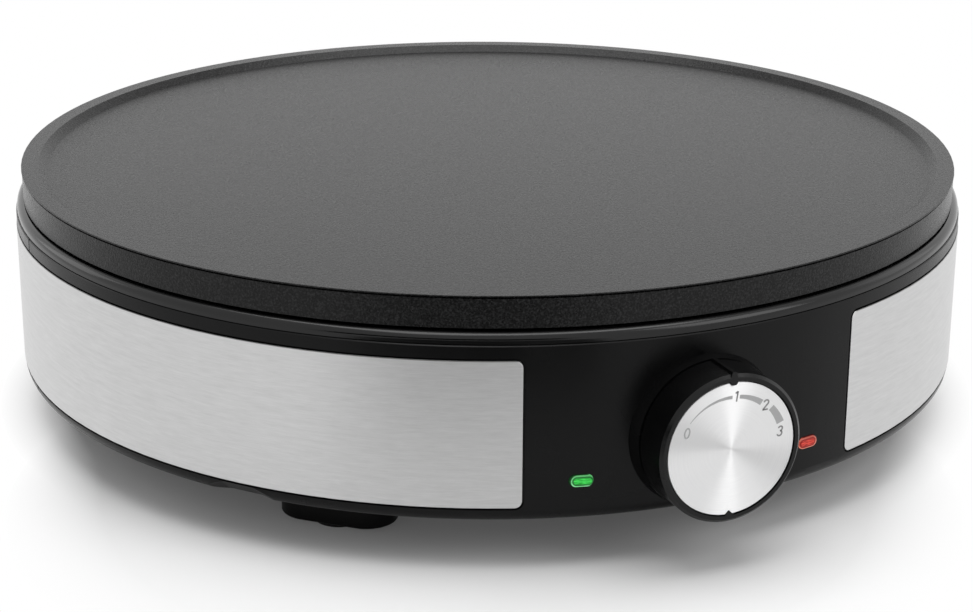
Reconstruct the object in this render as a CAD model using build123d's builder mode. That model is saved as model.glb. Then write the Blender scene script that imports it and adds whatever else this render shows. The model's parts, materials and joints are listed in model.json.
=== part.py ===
from build123d import *
import os
from math import asin, atan, cos, degrees, radians, sin, sqrt, tan

# Electric crepe maker. Millimetres, +Z up. The origin lies on the body's axis at worktop
# level, the front (knob) side faces -Y. An azimuth is counted from the front, positive
# towards +X.

os.makedirs("parts", exist_ok=True)

# ---------------------------------------------------------------- heights, bottom to top
ground_gap = 14.8  # worktop to the housing's lower edge
rim_height = 4.35  # black rim below the steel band
band_height = 46.75  # opening of the steel band's recess
strip_height = 3.9  # black strip above the steel band
ring_height = 3.6  # top ring above the strip
shadow_gap = 0.8  # open gap between the top ring and the plate's skirt
skirt_height = 9.8  # plate's skirt, lower edge to the lip's top

rim_top_z = ground_gap + rim_height
band_top_z = rim_top_z + band_height
housing_top_z = band_top_z + strip_height
ring_top_z = housing_top_z + ring_height
skirt_bottom_z = ring_top_z + shadow_gap
lip_top_z = skirt_bottom_z + skirt_height

# ---------------------------------------------------------------- baking plate
plate_radius = 158.0
lip_width = 5.6  # flat top of the lip
lip_run = 2.8  # sloping inner side of the lip, seen from above
lip_depth = 2.2  # lip's top down to the baking surface
lip_rounding = 0.2
plate_thickness = 5.0
skirt_inset = 0.2  # skirt set back under the lip's edge
skirt_wall = 3.8
edge_height = 0.4  # plain edge of the lip above its shadow groove
edge_groove = 0.6  # width and depth of the shadow groove
cast_fillet = 2.0

baking_z = lip_top_z - lip_depth
plate_under_z = baking_z - plate_thickness
skirt_radius = plate_radius - skirt_inset
skirt_inner_radius = skirt_radius - skirt_wall

# ---------------------------------------------------------------- heating element
element_inset = 53.0  # element's bent ring inside the plate's edge
element_radius = 3.3
element_bend_radius = 12.0  # of the centre line where the ends turn down
element_leg_length = 9.0  # straight end below each bend
element_leg_x = 9.2  # half the distance between the legs
seat_clearance = 0.05  # metal parts pressed together in a groove or a hole
strap_clearance = 0.15  # straight straps over the curved element
track_half_width = 11.5
track_height = 4.0
strap_thickness = 0.8
strap_width = 8.0
strap_foot_length = 7.0
strap_screw_distance = 7.4  # from the element's circle
strap_count = 4
strap_start = 45.0

element_circle = plate_radius - element_inset
track_bottom_z = plate_under_z - track_height
groove_radius = element_radius + seat_clearance

seal_radius = 4.2
seal_length = 6.0
seal_cover = 3.0  # length of the sheath inside the seal
pin_radius = 1.6
pin_length = 6.0
tab_width = 6.3  # push-on tab
tab_thickness = 0.8
tab_length = 8.0

# ---------------------------------------------------------------- housing
housing_step = 2.4  # housing outside the plate's edge
housing_wall = 3.1
rim_rounding = 4.2
band_recess = 0.8
seam_gap = 0.8  # open joint between the two housing halves
seam_chamfer = 0.3  # around the joint of the ring and the housing
fascia_half_angle = 19.5
band_thickness = 0.8
band_back_gap = 0.15  # tape behind the band
band_edge_gap = 0.6
band_corner = 2.9  # of the recess
band_edge_rounding = 0.2

housing_radius = plate_radius + housing_step
housing_inner_radius = housing_radius - housing_wall
recess_radius = housing_radius - band_recess
band_inner_radius = recess_radius + band_back_gap
band_outer_radius = band_inner_radius + band_thickness

rim_ledge_width = 5.7  # housing's lower edge, seen from below
pan_side_gap = 0.3
pan_inset = 0.4  # pan's underside above the housing's lower edge
pan_thickness = 2.5

pan_radius = housing_radius - rim_ledge_width - pan_side_gap
pan_bottom_z = ground_gap + pan_inset
pan_top_z = pan_bottom_z + pan_thickness

ring_set_back = 0.4  # ring's edge inside the housing's
ring_rounding = 2.4
ring_tower_lip = 0.3  # ring's flange past its towers
ring_flange = 2.2
spigot_gap = 0.4  # ring's locating spigot to the housing wall
spigot_wall = 2.3
spigot_depth = 3.3

tower_count = 8
tower_start = 22.5
tower_wall_gap = 2.6  # towers to the housing's wall
tower_radius = 4.4
tower_bore = 2.1
tower_rib = 2.0
tower_top_gap = 0.5  # ring's spigot to the tower tops

ring_radius = housing_radius - ring_set_back
tower_circle = housing_inner_radius - tower_wall_gap - tower_radius
ring_inner_radius = tower_circle - tower_radius - ring_tower_lip
tower_top_z = housing_top_z - spigot_depth - tower_top_gap

notch_azimuth = 50.8
notch_width = 40.0  # at the housing's lower edge, before the rim's rounding
notch_top_width = 11.0
notch_depth = 4.3
notch_run = 5.2  # from the housing's face in to where the slanted roof ends
notch_rounding = 4.0

# ---------------------------------------------------------------- knob and its collar
knob_above_rim = 20.15  # knob's axis above the black rim
knob_radius = 22.8
knob_depth = 13.2  # collar's front to the front of the bezel
bezel_chamfer = 0.9
knob_wall = 2.0
web_thickness = 2.0
dial_radius = 20.3
dial_thickness = 1.0
dial_side_gap = 0.45
dial_inset = 0.3  # dial face behind the bezel's front
collar_radius = 24.0
collar_proud = 2.8  # collar's front outside the housing
collar_taper = 0.9
collar_width = 4.0
collar_gap = 0.6  # collar to the turning knob
hub_radius = 5.6
rib_width = 2.4
rib_top_width = 1.2
rib_height = 0.8
pointer_reach = 0.7  # pointer's tip past the dial's edge
pointer_rounding = 0.9
pip_width = 4.9  # locating pip opposite the pointer, at its root in the bezel
pip_reach = 1.1
pip_rounding = 0.3
notch_clearance = 0.15

knob_height = rim_top_z + knob_above_rim
collar_front = housing_radius + collar_proud
knob_face = collar_front + knob_depth
knob_back = collar_front + collar_gap
dial_face = knob_face - dial_inset
dial_back = dial_face - dial_thickness

# ---------------------------------------------------------------- thermostat
spindle_radius = 3.0
spindle_fit = 0.05  # running clearance in the sleeve and the body
spindle_flat = 0.8  # depth of the driving flat
spindle_engagement = 12.0  # length inside the thermostat's body
spindle_end_gap = 0.5  # spindle's tip to the knob's web
panel_hole_radius = 3.8
spring_thickness = 0.3
spring_width = 3.2
sleeve_radius = 5.0
sleeve_reach = 8.8  # sleeve in front of the bracket
nut_across_flats = 14.0
nut_thickness = 3.2
bracket_inset = 16.1  # bracket's front inside the housing's wall
bracket_thickness = 1.2
bracket_half_width = 17.0
bracket_drop = 15.3  # bracket's lower edge below the spindle
bracket_flange_length = 20.0
bracket_boss_drop = 6.0
bracket_boss_radius = 4.5
bracket_screw_x = 10.0
bracket_screw_inset = 11.2  # screws behind the bracket's front
thermostat_width = 28.0
thermostat_height = 32.0
thermostat_depth = 22.0
block_chamfer = 1.5
bimetal_width = 8.0
bimetal_thickness = 0.8
bimetal_length = 26.0
bimetal_end_gap = 1.0
thermostat_tab_x = 8.0
thermostat_tab_drop = 5.3  # tabs below the spindle

bracket_front = housing_inner_radius - bracket_inset
bracket_back = bracket_front - bracket_thickness
bracket_low_z = knob_height - bracket_drop
bracket_screw_circle = bracket_front - bracket_screw_inset
sleeve_front = bracket_front + sleeve_reach
spindle_inner = bracket_back - spindle_engagement
bracket_top_z = plate_under_z - bracket_boss_drop
thermostat_back = bracket_back - thermostat_depth

# ---------------------------------------------------------------- supports
standoff_inset = 30.0  # standoffs inside the element's ring
standoff_count = 4
standoff_start = 45.0
standoff_radius = 4.0
standoff_wall = 1.8
plate_boss_radius = 6.0
shield_gap = 2.7  # shield above the thermostat
shield_thickness = 0.8
shield_side_gap = 2.1  # shield's edge to the ring's opening
shield_rim = 6.0
pan_boss_radius = 7.0
pan_boss_height = 4.1
standoff_circle = element_circle - standoff_inset
standoff_base_z = pan_top_z + pan_boss_height
shield_z = knob_height + thermostat_height / 2 + shield_gap
shield_top_z = shield_z + shield_thickness
shield_radius = ring_inner_radius - shield_side_gap

foot_azimuth = 43.4  # from the front or the back
foot_inset = 23.2  # feet's middle inside the pan's edge
foot_length = 37.2  # along the rim
foot_width = 19.0
foot_rounding = 0.9
pad_radius = 8.0
pad_proud = 1.4  # pad below the foot's block
pad_seat = 2.0  # pad inside the foot's block
pad_side_gap = 0.1
pad_rounding = 0.5
foot_boss_radius = 4.5
foot_boss_height = 7.0

foot_circle = pan_radius - foot_inset

# ---------------------------------------------------------------- screws
thread_fit = 0.05  # screw thread in its tapped hole
hole_fit = 0.35  # screw shank in a through hole
driver_slot = 0.9  # width of the cross recess
small_screw_radius = 1.5
case_screw_radius = 1.75
plate_screw_radius = 2.0
head_ratio = 1.9  # head radius over shank radius
head_height_ratio = 1.2  # head height over shank radius
head_rounding_ratio = 0.4  # head's rounding over its height
thread_reach = 4.0  # thread in a boss
hole_end_gap = 1.0  # solid left at the end of a blind hole
head_recess = 0.6  # sunk screw heads below the surface
overshoot = 1.0  # cutters past the surface they start or end at

# ---------------------------------------------------------------- lamps
light_azimuth = 13.6
light_above_rim = 8.55
lens_length = 7.2
lens_width = 3.7
lens_proud = 0.7
lens_rounding = 0.6
lens_side_gap = 0.1
lens_flange_radius = 5.4
lens_flange_thickness = 1.4
socket_gap = 0.2
socket_wall = 1.4
socket_depth = 8.0
holder_length = 14.0
holder_bore = 2.8
lamp_radius = 2.5
lamp_length = 9.0
lamp_tip_ratio = 0.8  # rounding of the lamp's tip over its radius
lamp_front_gap = 1.5
lamp_lead_radius = 0.8
lamp_lead_pitch = 2.8

light_height = rim_top_z + light_above_rim

# ---------------------------------------------------------------- mains inlet and wiring
gland_above_rim = 12.85
gland_bore = 3.6
gland_radius = 6.0
gland_flange_radius = 8.0
gland_flange_thickness = 2.2
gland_rounding = 0.7
gland_length = 17.0
gland_hole_gap = 0.2
gland_nut_flats = 17.0
gland_nut_thickness = 4.0
clamp_inset = 39.4  # cord clamp inside the pan's edge
clamp_post_x = 11.0
clamp_post_radius = 3.6
clamp_post_height = 6.0
clamp_bar_length = 30.0
clamp_bar_width = 8.0
clamp_bar_thickness = 3.5
cord_groove_radius = 6.0
cord_groove_depth = 1.2
block_inset = 33.0  # terminal block inside the element's ring
block_length = 32.0
block_width = 20.0
block_height = 14.0
block_pole_pitch = 10.0
block_screw_x = 5.0
block_chamfer_length = 0.8
entry_height = 7.1  # wire entries above the pan
lamp_entry_height = 10.1
wire_radius = 1.2
receptacle_length = 14.0
receptacle_width = 8.6
receptacle_height = 4.0
receptacle_gap = 0.5  # receptacle's mouth to the tab's root
tab_fit = 0.15
tab_end_gap = 1.0
lead_run = 6.0  # straight wire at a terminal
lead_sway = 4.0
wire_floor_gap = 1.2  # leads above the pan
bend_ratio = 16.0  # a lead's largest bend over its radius
bend_share = 0.45  # part of the shorter run that a bend may take
lamp_lead_straight = 14.0  # straight lead behind a lamp
lamp_run_gap = 6.0  # lamp leads to the standoffs' seats
lamp_end_run = 10.0  # straight lamp lead at the terminal block

gland_height = rim_top_z + gland_above_rim
lamp_run_x = standoff_circle * sin(radians(standoff_start)) - pan_boss_radius - lamp_run_gap
clamp_y = pan_radius - clamp_inset
block_y = element_circle - block_inset
floor_run_z = pan_top_z + wire_radius + wire_floor_gap

fuse_inset = 45.0  # fuse inside the standoffs' circle
fuse_radius = 1.9
fuse_length = 12.0
fuse_lead_radius = 0.5
fuse_lead_reach = 14.0  # each lead's end from the fuse's middle
fuse_sleeve_radius = 3.0
fuse_sleeve_wall = 0.9
fuse_sleeve_length = 40.0
fuse_drop = 3.1  # sleeve's centre below the plate
fuse_strap_foot = 7.0
fuse_screw_distance = 6.8
earth_distance = 35.0  # earth screw in front of the fuse
earth_boss_drop = 10.8
earth_lug_thickness = 1.0
earth_lug_width = 8.0
earth_wire_x = 12.0
wire_hole_radius = 4.0
wire_hole_x = 34.0
leg_hole_radius = 7.5
bracket_slot_gap = 2.0

fuse_y = standoff_circle - fuse_inset
earth_y = fuse_y - earth_distance
earth_boss_z = plate_under_z - earth_boss_drop

vent_count = 24
vent_inset = 23.0  # vents inside the standoffs' circle
vent_length = 24.0
vent_width = 3.0

vent_circle = standoff_circle - vent_inset


# ---------------------------------------------------------------- construction helpers
def outward_plane(azimuth, distance, height):
    """Upright plane that faces away from the body's axis. Its X runs right, its Y up."""
    turn = radians(azimuth)
    return Plane(
        origin=(distance * sin(turn), -distance * cos(turn), height),
        x_dir=(cos(turn), sin(turn), 0),
        z_dir=(sin(turn), -cos(turn), 0),
    )


def radial_plane(azimuth):
    """Upright plane through the body's axis. Its X runs outwards, its Y up."""
    turn = radians(azimuth)
    return Plane(
        origin=(0, 0, 0),
        x_dir=(sin(turn), -cos(turn), 0),
        z_dir=(-cos(turn), -sin(turn), 0),
    )


def level(height):
    """Level plane at a height above the worktop."""
    return Plane.XY.offset(height)


def save(piece, node):
    """Names a finished sub-part and writes its STEP file."""
    piece.part.label = node
    export_step(piece.part, f"parts/{node}.step")


def pan_head_screw(shank_radius, shank_length):
    """Screw with its head's bearing face on the XY plane and its shank along +Z."""
    head_radius = head_ratio * shank_radius
    head_height = head_height_ratio * shank_radius
    with BuildPart() as screw:
        with BuildSketch():
            Circle(head_radius)
        extrude(amount=-head_height)
        fillet(screw.edges().group_by(Axis.Z)[0], radius=head_rounding_ratio * head_height)
        with BuildSketch(level(-head_height)):
            Rectangle(driver_slot, head_radius)
            Rectangle(head_radius, driver_slot)
        extrude(amount=head_height / 2, mode=Mode.SUBTRACT)
        with BuildSketch():
            Circle(shank_radius)
        extrude(amount=shank_length)
    return screw.part


def saddle_strap(plane, centre, inner_radius, foot):
    """Section of a strap that hangs round a tube's lower half, with a flat foot each side."""
    outer_radius = inner_radius + strap_thickness
    with BuildSketch(plane) as strap:
        with Locations(centre):
            Circle(outer_radius)
            Circle(inner_radius, mode=Mode.SUBTRACT)
            Rectangle(
                3 * outer_radius,
                2 * outer_radius,
                align=(Align.CENTER, Align.MIN),
                mode=Mode.SUBTRACT,
            )
            Rectangle(foot + inner_radius, strap_thickness, align=(Align.MIN, Align.MAX))
            Rectangle(foot + inner_radius, strap_thickness, align=(Align.MAX, Align.MAX))
            Circle(inner_radius, mode=Mode.SUBTRACT)
    return strap.sketch


def band_blank(inner_radius, outer_radius, edge_gap, corner):
    """Curved strip round the back of the body from fascia to fascia, with rounded corners."""
    start = fascia_half_angle + degrees(edge_gap / housing_radius)
    with BuildPart() as blank:
        with BuildSketch(radial_plane(start)):
            with Locations(((inner_radius + outer_radius) / 2, rim_top_z + band_height / 2)):
                Rectangle(outer_radius - inner_radius, band_height - 2 * edge_gap)
        revolve(axis=Axis.Z, revolution_arc=360 - 2 * start)
        end_lines = blank.edges().filter_by(GeomType.LINE)
        fillet(end_lines.filter_by(Axis.Z, reverse=True), radius=corner)
    return blank.part


def bend_radii(points, largest):
    """Bend radius at each inner point of a lead: as large as its two runs allow."""
    radii = []
    for before, corner, after in zip(points, points[1:], points[2:]):
        run_in = Vector(corner) - Vector(before)
        run_out = Vector(after) - Vector(corner)
        half_turn = radians(run_in.get_angle(run_out)) / 2
        shorter = min(run_in.length, run_out.length)
        radii.append(min(largest, bend_share * shorter / tan(half_turn)))
    return radii


def lead(points, radius):
    """A round lead that follows straight runs joined by tangent arcs."""
    largest_bend = bend_ratio * radius
    with BuildPart() as tube:
        with BuildLine() as route:
            FilletPolyline(*points, radius=bend_radii(points, largest_bend))
        with BuildSketch(Plane(origin=route.line @ 0, z_dir=route.line % 0)):
            Circle(radius)
        sweep(path=route.line)
    return tube


# ---------------------------------------------------------------- baking plate
with BuildPart() as baking_plate:
    groove_top_z = lip_top_z - edge_height
    with BuildSketch(Plane.XZ) as plate_section:
        with BuildLine():
            Polyline(
                (0, plate_under_z),
                (skirt_inner_radius, plate_under_z),
                (skirt_inner_radius, skirt_bottom_z),
                (skirt_radius, skirt_bottom_z),
                (skirt_radius, groove_top_z - edge_groove),
                (skirt_radius - edge_groove, groove_top_z - edge_groove / 2),
                (plate_radius, groove_top_z),
                (plate_radius, lip_top_z),
                (plate_radius - lip_width, lip_top_z),
                (plate_radius - lip_width - lip_run, baking_z),
                (0, baking_z),
                close=True,
            )
        make_face()
        lip_corner = plate_section.vertices().sort_by_distance((plate_radius, lip_top_z))[0]
        fillet(lip_corner, radius=lip_rounding)
        skirt_root = plate_section.vertices().sort_by_distance((skirt_inner_radius, plate_under_z))[0]
        fillet(skirt_root, radius=cast_fillet)
    revolve(axis=Axis.Z)
    # raised track that the element is seated in
    with BuildSketch(level(plate_under_z)):
        Circle(element_circle + track_half_width)
        Circle(element_circle - track_half_width, mode=Mode.SUBTRACT)
    extrude(amount=-track_height)
    with BuildSketch(Plane.XZ):
        with Locations((element_circle, track_bottom_z)):
            Circle(groove_radius)
    revolve(axis=Axis.Z, mode=Mode.SUBTRACT)
    # bosses for the plate screws
    with BuildSketch(level(plate_under_z)):
        with PolarLocations(standoff_circle, standoff_count, standoff_start):
            Circle(plate_boss_radius)
    extrude(amount=shield_top_z - plate_under_z)
    with BuildSketch(level(shield_top_z)):
        with PolarLocations(standoff_circle, standoff_count, standoff_start):
            Circle(plate_screw_radius + thread_fit)
    extrude(amount=plate_under_z - shield_top_z - hole_end_gap, mode=Mode.SUBTRACT)
    # bosses for the thermostat bracket
    with BuildSketch(level(plate_under_z)):
        with GridLocations(2 * bracket_screw_x, 0, 2, 1):
            with Locations((0, -bracket_screw_circle)):
                Circle(bracket_boss_radius)
    extrude(amount=-bracket_boss_drop)
    with BuildSketch(level(bracket_top_z)):
        with GridLocations(2 * bracket_screw_x, 0, 2, 1):
            with Locations((0, -bracket_screw_circle)):
                Circle(small_screw_radius + thread_fit)
    extrude(amount=bracket_boss_drop + plate_thickness / 2, mode=Mode.SUBTRACT)
    # tapped holes for the element clamps
    with BuildSketch(level(track_bottom_z)):
        with PolarLocations(element_circle - strap_screw_distance, strap_count, strap_start):
            Circle(small_screw_radius + thread_fit)
        with PolarLocations(element_circle + strap_screw_distance, strap_count, strap_start):
            Circle(small_screw_radius + thread_fit)
    extrude(amount=track_height + plate_thickness / 2, mode=Mode.SUBTRACT)
    # seat of the thermal fuse's clip
    with BuildSketch(level(plate_under_z)):
        with GridLocations(0, 2 * fuse_screw_distance, 1, 2):
            with Locations((0, fuse_y)):
                Circle(bracket_boss_radius)
        with Locations((0, fuse_y)):
            Rectangle(
                2 * bracket_boss_radius,
                2 * (fuse_sleeve_radius + 2 * seat_clearance),
                mode=Mode.SUBTRACT,
            )
    extrude(amount=-fuse_drop)
    with BuildSketch(level(plate_under_z - fuse_drop)):
        with GridLocations(0, 2 * fuse_screw_distance, 1, 2):
            with Locations((0, fuse_y)):
                Circle(small_screw_radius + thread_fit)
    extrude(amount=fuse_drop + plate_thickness / 2, mode=Mode.SUBTRACT)
    # earth boss
    with BuildSketch(level(earth_boss_z)):
        with Locations((0, earth_y)):
            Circle(bracket_boss_radius)
    extrude(amount=plate_under_z - earth_boss_z)
    with BuildSketch(level(earth_boss_z)):
        with Locations((0, earth_y)):
            Circle(plate_screw_radius + thread_fit)
    extrude(amount=plate_under_z - earth_boss_z - hole_end_gap, mode=Mode.SUBTRACT)
save(baking_plate, "baking_plate")

# ---------------------------------------------------------------- heating element
element_end_angle = asin(
    element_leg_x / sqrt(element_circle**2 + element_bend_radius**2)
) + atan(element_bend_radius / element_circle)
element_end = Vector(
    element_circle * sin(element_end_angle),
    element_circle * cos(element_end_angle),
    track_bottom_z,
)
element_tangent = Vector(-cos(element_end_angle), sin(element_end_angle), 0)
element_bend_end = element_end + element_tangent * element_bend_radius - Vector(0, 0, element_bend_radius)
element_foot = element_bend_end - Vector(0, 0, element_leg_length)
element_leg_y = element_foot.Y
element_bottom_z = element_foot.Z


def mirrored(point):
    """The same point on the other side of the body's middle plane."""
    return Vector(-point.X, point.Y, point.Z)


with BuildPart() as heating_element:
    with BuildLine() as element_path:
        Line(element_foot, element_bend_end)
        TangentArc(element_bend_end, element_end, tangent=(0, 0, 1))
        CenterArc(
            (0, 0, track_bottom_z),
            element_circle,
            90 - degrees(element_end_angle),
            -(360 - 2 * degrees(element_end_angle)),
        )
        TangentArc(
            mirrored(element_bend_end),
            mirrored(element_end),
            tangent=(0, 0, 1),
        )
        Line(mirrored(element_bend_end), mirrored(element_foot))
    with BuildSketch(level(element_bottom_z)):
        with Locations((element_leg_x, element_leg_y)):
            Circle(element_radius)
    sweep(path=element_path.wires()[0])
save(heating_element, "heating_element")

leg_spots = [(element_leg_x, element_leg_y), (-element_leg_x, element_leg_y)]
seal_bottom_z = element_bottom_z + seal_cover - seal_length - seal_cover
pin_bottom_z = seal_bottom_z - pin_length
pin_tab_bottom_z = pin_bottom_z - tab_length

with BuildPart() as element_seals:
    with BuildSketch(level(seal_bottom_z)):
        with Locations(*leg_spots):
            Circle(seal_radius)
    extrude(amount=seal_length + seal_cover)
    with BuildSketch(level(element_bottom_z)):
        with Locations(*leg_spots):
            Circle(element_radius + seat_clearance)
    extrude(amount=seal_cover, mode=Mode.SUBTRACT)
    with BuildSketch(level(seal_bottom_z)):
        with Locations(*leg_spots):
            Circle(pin_radius + seat_clearance)
    extrude(amount=seal_length, mode=Mode.SUBTRACT)
save(element_seals, "element_seals")

with BuildPart() as element_pins:
    with BuildSketch(level(pin_bottom_z)):
        with Locations(*leg_spots):
            Circle(pin_radius)
    extrude(amount=element_bottom_z - pin_bottom_z)
    with BuildSketch(level(pin_tab_bottom_z)):
        with Locations(*leg_spots):
            Rectangle(tab_width, tab_thickness)
    extrude(amount=tab_length)
save(element_pins, "element_pins")

strap_azimuths = [strap_start + 360 / strap_count * index for index in range(strap_count)]

with BuildPart() as element_clamps:
    for azimuth in strap_azimuths:
        strap = saddle_strap(
            radial_plane(azimuth),
            (element_circle, track_bottom_z),
            element_radius + strap_clearance,
            strap_foot_length,
        )
        extrude(strap, amount=strap_width / 2, both=True)
    for circle in (element_circle - strap_screw_distance, element_circle + strap_screw_distance):
        with BuildSketch(level(track_bottom_z)):
            with PolarLocations(circle, strap_count, strap_start):
                Circle(small_screw_radius + hole_fit)
        extrude(amount=-strap_thickness, mode=Mode.SUBTRACT)
save(element_clamps, "element_clamps")

clamp_screw = pan_head_screw(small_screw_radius, strap_thickness + thread_reach)
with BuildPart() as clamp_screws:
    for circle in (element_circle - strap_screw_distance, element_circle + strap_screw_distance):
        with Locations((0, 0, track_bottom_z - strap_thickness)):
            with PolarLocations(circle, strap_count, strap_start):
                add(clamp_screw)
save(clamp_screws, "clamp_screws")

# ---------------------------------------------------------------- housing halves
collar_root = housing_radius - housing_wall / 2
knob_axis = Axis((0, 0, knob_height), (0, -1, 0))
# section plane through the knob's axis: X runs out of the front, Y runs down
knob_section = Plane(origin=(0, 0, knob_height), x_dir=(0, -1, 0), z_dir=(1, 0, 0))
lens_seat = sqrt(housing_inner_radius**2 - lens_flange_radius**2)
socket_inner_radius = lens_flange_radius + socket_gap
band_recess_blank = band_blank(recess_radius, housing_radius + overshoot, 0, band_corner)
# scooped notches in the lower edge, their roofs slanted down to the pan
notch_start_z = ground_gap + overshoot * notch_depth / notch_run
notch_reach = sqrt(notch_run**2 + notch_depth**2) * (1 + 2 * overshoot / notch_run)

with BuildPart() as housing:
    with BuildSketch(Plane.XZ) as wall_section:
        with BuildLine():
            Polyline(
                (pan_radius + pan_side_gap, ground_gap),
                (housing_radius, ground_gap),
                (housing_radius, housing_top_z),
                (housing_inner_radius, housing_top_z),
                (housing_inner_radius, pan_top_z),
                (pan_radius + pan_side_gap, pan_top_z),
                close=True,
            )
        make_face()
        rim_corner = wall_section.vertices().sort_by_distance((housing_radius, ground_gap))[0]
        fillet(rim_corner, radius=rim_rounding)
        top_corner = wall_section.vertices().sort_by_distance((housing_radius, housing_top_z))[0]
        chamfer(top_corner, length=seam_chamfer)
    revolve(axis=Axis.Z)
    add(band_recess_blank, mode=Mode.SUBTRACT)
    # screw towers with a rib to the wall
    with BuildSketch(level(pan_top_z)):
        with PolarLocations(tower_circle, tower_count, tower_start):
            Circle(tower_radius)
            Rectangle(
                housing_inner_radius + housing_wall / 2 - tower_circle,
                tower_rib,
                align=(Align.MIN, Align.CENTER),
            )
    extrude(amount=tower_top_z - pan_top_z)
    with BuildSketch(level(pan_top_z)):
        with PolarLocations(tower_circle, tower_count, tower_start):
            Circle(tower_bore)
    extrude(amount=tower_top_z - pan_top_z, mode=Mode.SUBTRACT)
    # collar behind the knob
    with BuildSketch(knob_section):
        with BuildLine():
            Polyline(
                (collar_root, collar_radius),
                (collar_front, collar_radius - collar_taper),
                (collar_front, collar_radius - collar_width),
                (collar_root, collar_radius - collar_width),
                close=True,
            )
        make_face()
    revolve(axis=knob_axis)
    with BuildSketch(outward_plane(0, housing_inner_radius - overshoot, knob_height)):
        Circle(panel_hole_radius)
    extrude(amount=housing_wall + 2 * overshoot, mode=Mode.SUBTRACT)
    # lamp sockets on the inside and lens windows through the wall
    for azimuth in (-light_azimuth, light_azimuth):
        with BuildSketch(outward_plane(azimuth, lens_seat - socket_depth, light_height)):
            Circle(socket_inner_radius + socket_wall)
            Circle(socket_inner_radius, mode=Mode.SUBTRACT)
        extrude(amount=socket_depth + housing_wall / 2)
        with BuildSketch(outward_plane(azimuth, lens_seat - overshoot, light_height)):
            SlotOverall(lens_length + 2 * lens_side_gap, lens_width + 2 * lens_side_gap)
        extrude(amount=housing_wall + 3 * overshoot, mode=Mode.SUBTRACT)
    # inlet hole at the back
    with BuildSketch(outward_plane(180, housing_inner_radius - overshoot, gland_height)):
        Circle(gland_radius + gland_hole_gap)
    extrude(amount=housing_wall + 2 * overshoot, mode=Mode.SUBTRACT)
    # notches in the lower edge
    for azimuth in (-notch_azimuth, notch_azimuth):
        notch_place = outward_plane(azimuth, housing_radius + overshoot, notch_start_z)
        with BuildSketch(notch_place):
            with BuildLine() as notch_line:
                notch_half = Polyline(
                    (0, notch_depth),
                    (notch_top_width / 2, notch_depth),
                    (notch_width / 2, 0),
                    (notch_width, 0),
                    (notch_width, -notch_depth),
                    (0, -notch_depth),
                )
                fillet(notch_half.vertices()[1:3], radius=notch_rounding)
                mirror(about=Plane.YZ)
            make_face()
        inwards_down = notch_place.z_dir * -notch_run - Vector(0, 0, notch_depth)
        extrude(amount=notch_reach, dir=inwards_down, mode=Mode.SUBTRACT)

with BuildPart() as housing_front:
    add(housing.part)
    split(bisect_by=Plane.XZ.offset(seam_gap / 2), keep=Keep.TOP)
save(housing_front, "housing_front")

with BuildPart() as housing_rear:
    add(housing.part)
    split(bisect_by=Plane.XZ.offset(-seam_gap / 2), keep=Keep.BOTTOM)
save(housing_rear, "housing_rear")

steel_blank = band_blank(
    band_inner_radius, band_outer_radius, band_edge_gap, band_corner - band_edge_gap
)
with BuildPart() as steel_band:
    add(steel_blank)
    fillet(steel_band.faces().sort_by(SortBy.AREA)[-1].edges(), radius=band_edge_rounding)
    with BuildSketch(outward_plane(180, housing_inner_radius, gland_height)):
        Circle(gland_radius + gland_hole_gap)
    extrude(amount=2 * housing_wall, mode=Mode.SUBTRACT)
save(steel_band, "steel_band")

# ---------------------------------------------------------------- top ring
spigot_radius = housing_inner_radius - spigot_gap
with BuildPart() as top_ring:
    with BuildSketch(Plane.XZ) as ring_section:
        with BuildLine():
            Polyline(
                (ring_radius, housing_top_z),
                (ring_radius, ring_top_z),
                (ring_inner_radius, ring_top_z),
                (ring_inner_radius, ring_top_z - ring_flange),
                (spigot_radius - spigot_wall, ring_top_z - ring_flange),
                (spigot_radius - spigot_wall, housing_top_z - spigot_depth),
                (spigot_radius, housing_top_z - spigot_depth),
                (spigot_radius, housing_top_z),
                close=True,
            )
        make_face()
        outer_corner = ring_section.vertices().sort_by_distance((ring_radius, ring_top_z))[0]
        fillet(outer_corner, radius=ring_rounding)
        lower_corner = ring_section.vertices().sort_by_distance((ring_radius, housing_top_z))[0]
        chamfer(lower_corner, length=seam_chamfer)
    revolve(axis=Axis.Z)
    with BuildSketch(level(tower_top_z)):
        with PolarLocations(tower_circle, tower_count, tower_start):
            Circle(tower_radius)
    extrude(amount=ring_top_z - ring_flange - tower_top_z)
    with BuildSketch(level(tower_top_z)):
        with PolarLocations(tower_circle, tower_count, tower_start):
            Circle(case_screw_radius + thread_fit)
    extrude(amount=ring_top_z - ring_flange / 2 - tower_top_z, mode=Mode.SUBTRACT)
save(top_ring, "top_ring")

# ---------------------------------------------------------------- base pan
foot_names = ["foot_front_right", "foot_rear_right", "foot_rear_left", "foot_front_left"]
foot_azimuths = [foot_azimuth, 180 - foot_azimuth, 180 + foot_azimuth, 360 - foot_azimuth]
foot_spots = [(foot_circle * sin(radians(a)), -foot_circle * cos(radians(a))) for a in foot_azimuths]
plate_head_depth = head_height_ratio * plate_screw_radius + head_recess
plate_head_z = pan_bottom_z + plate_head_depth

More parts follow.
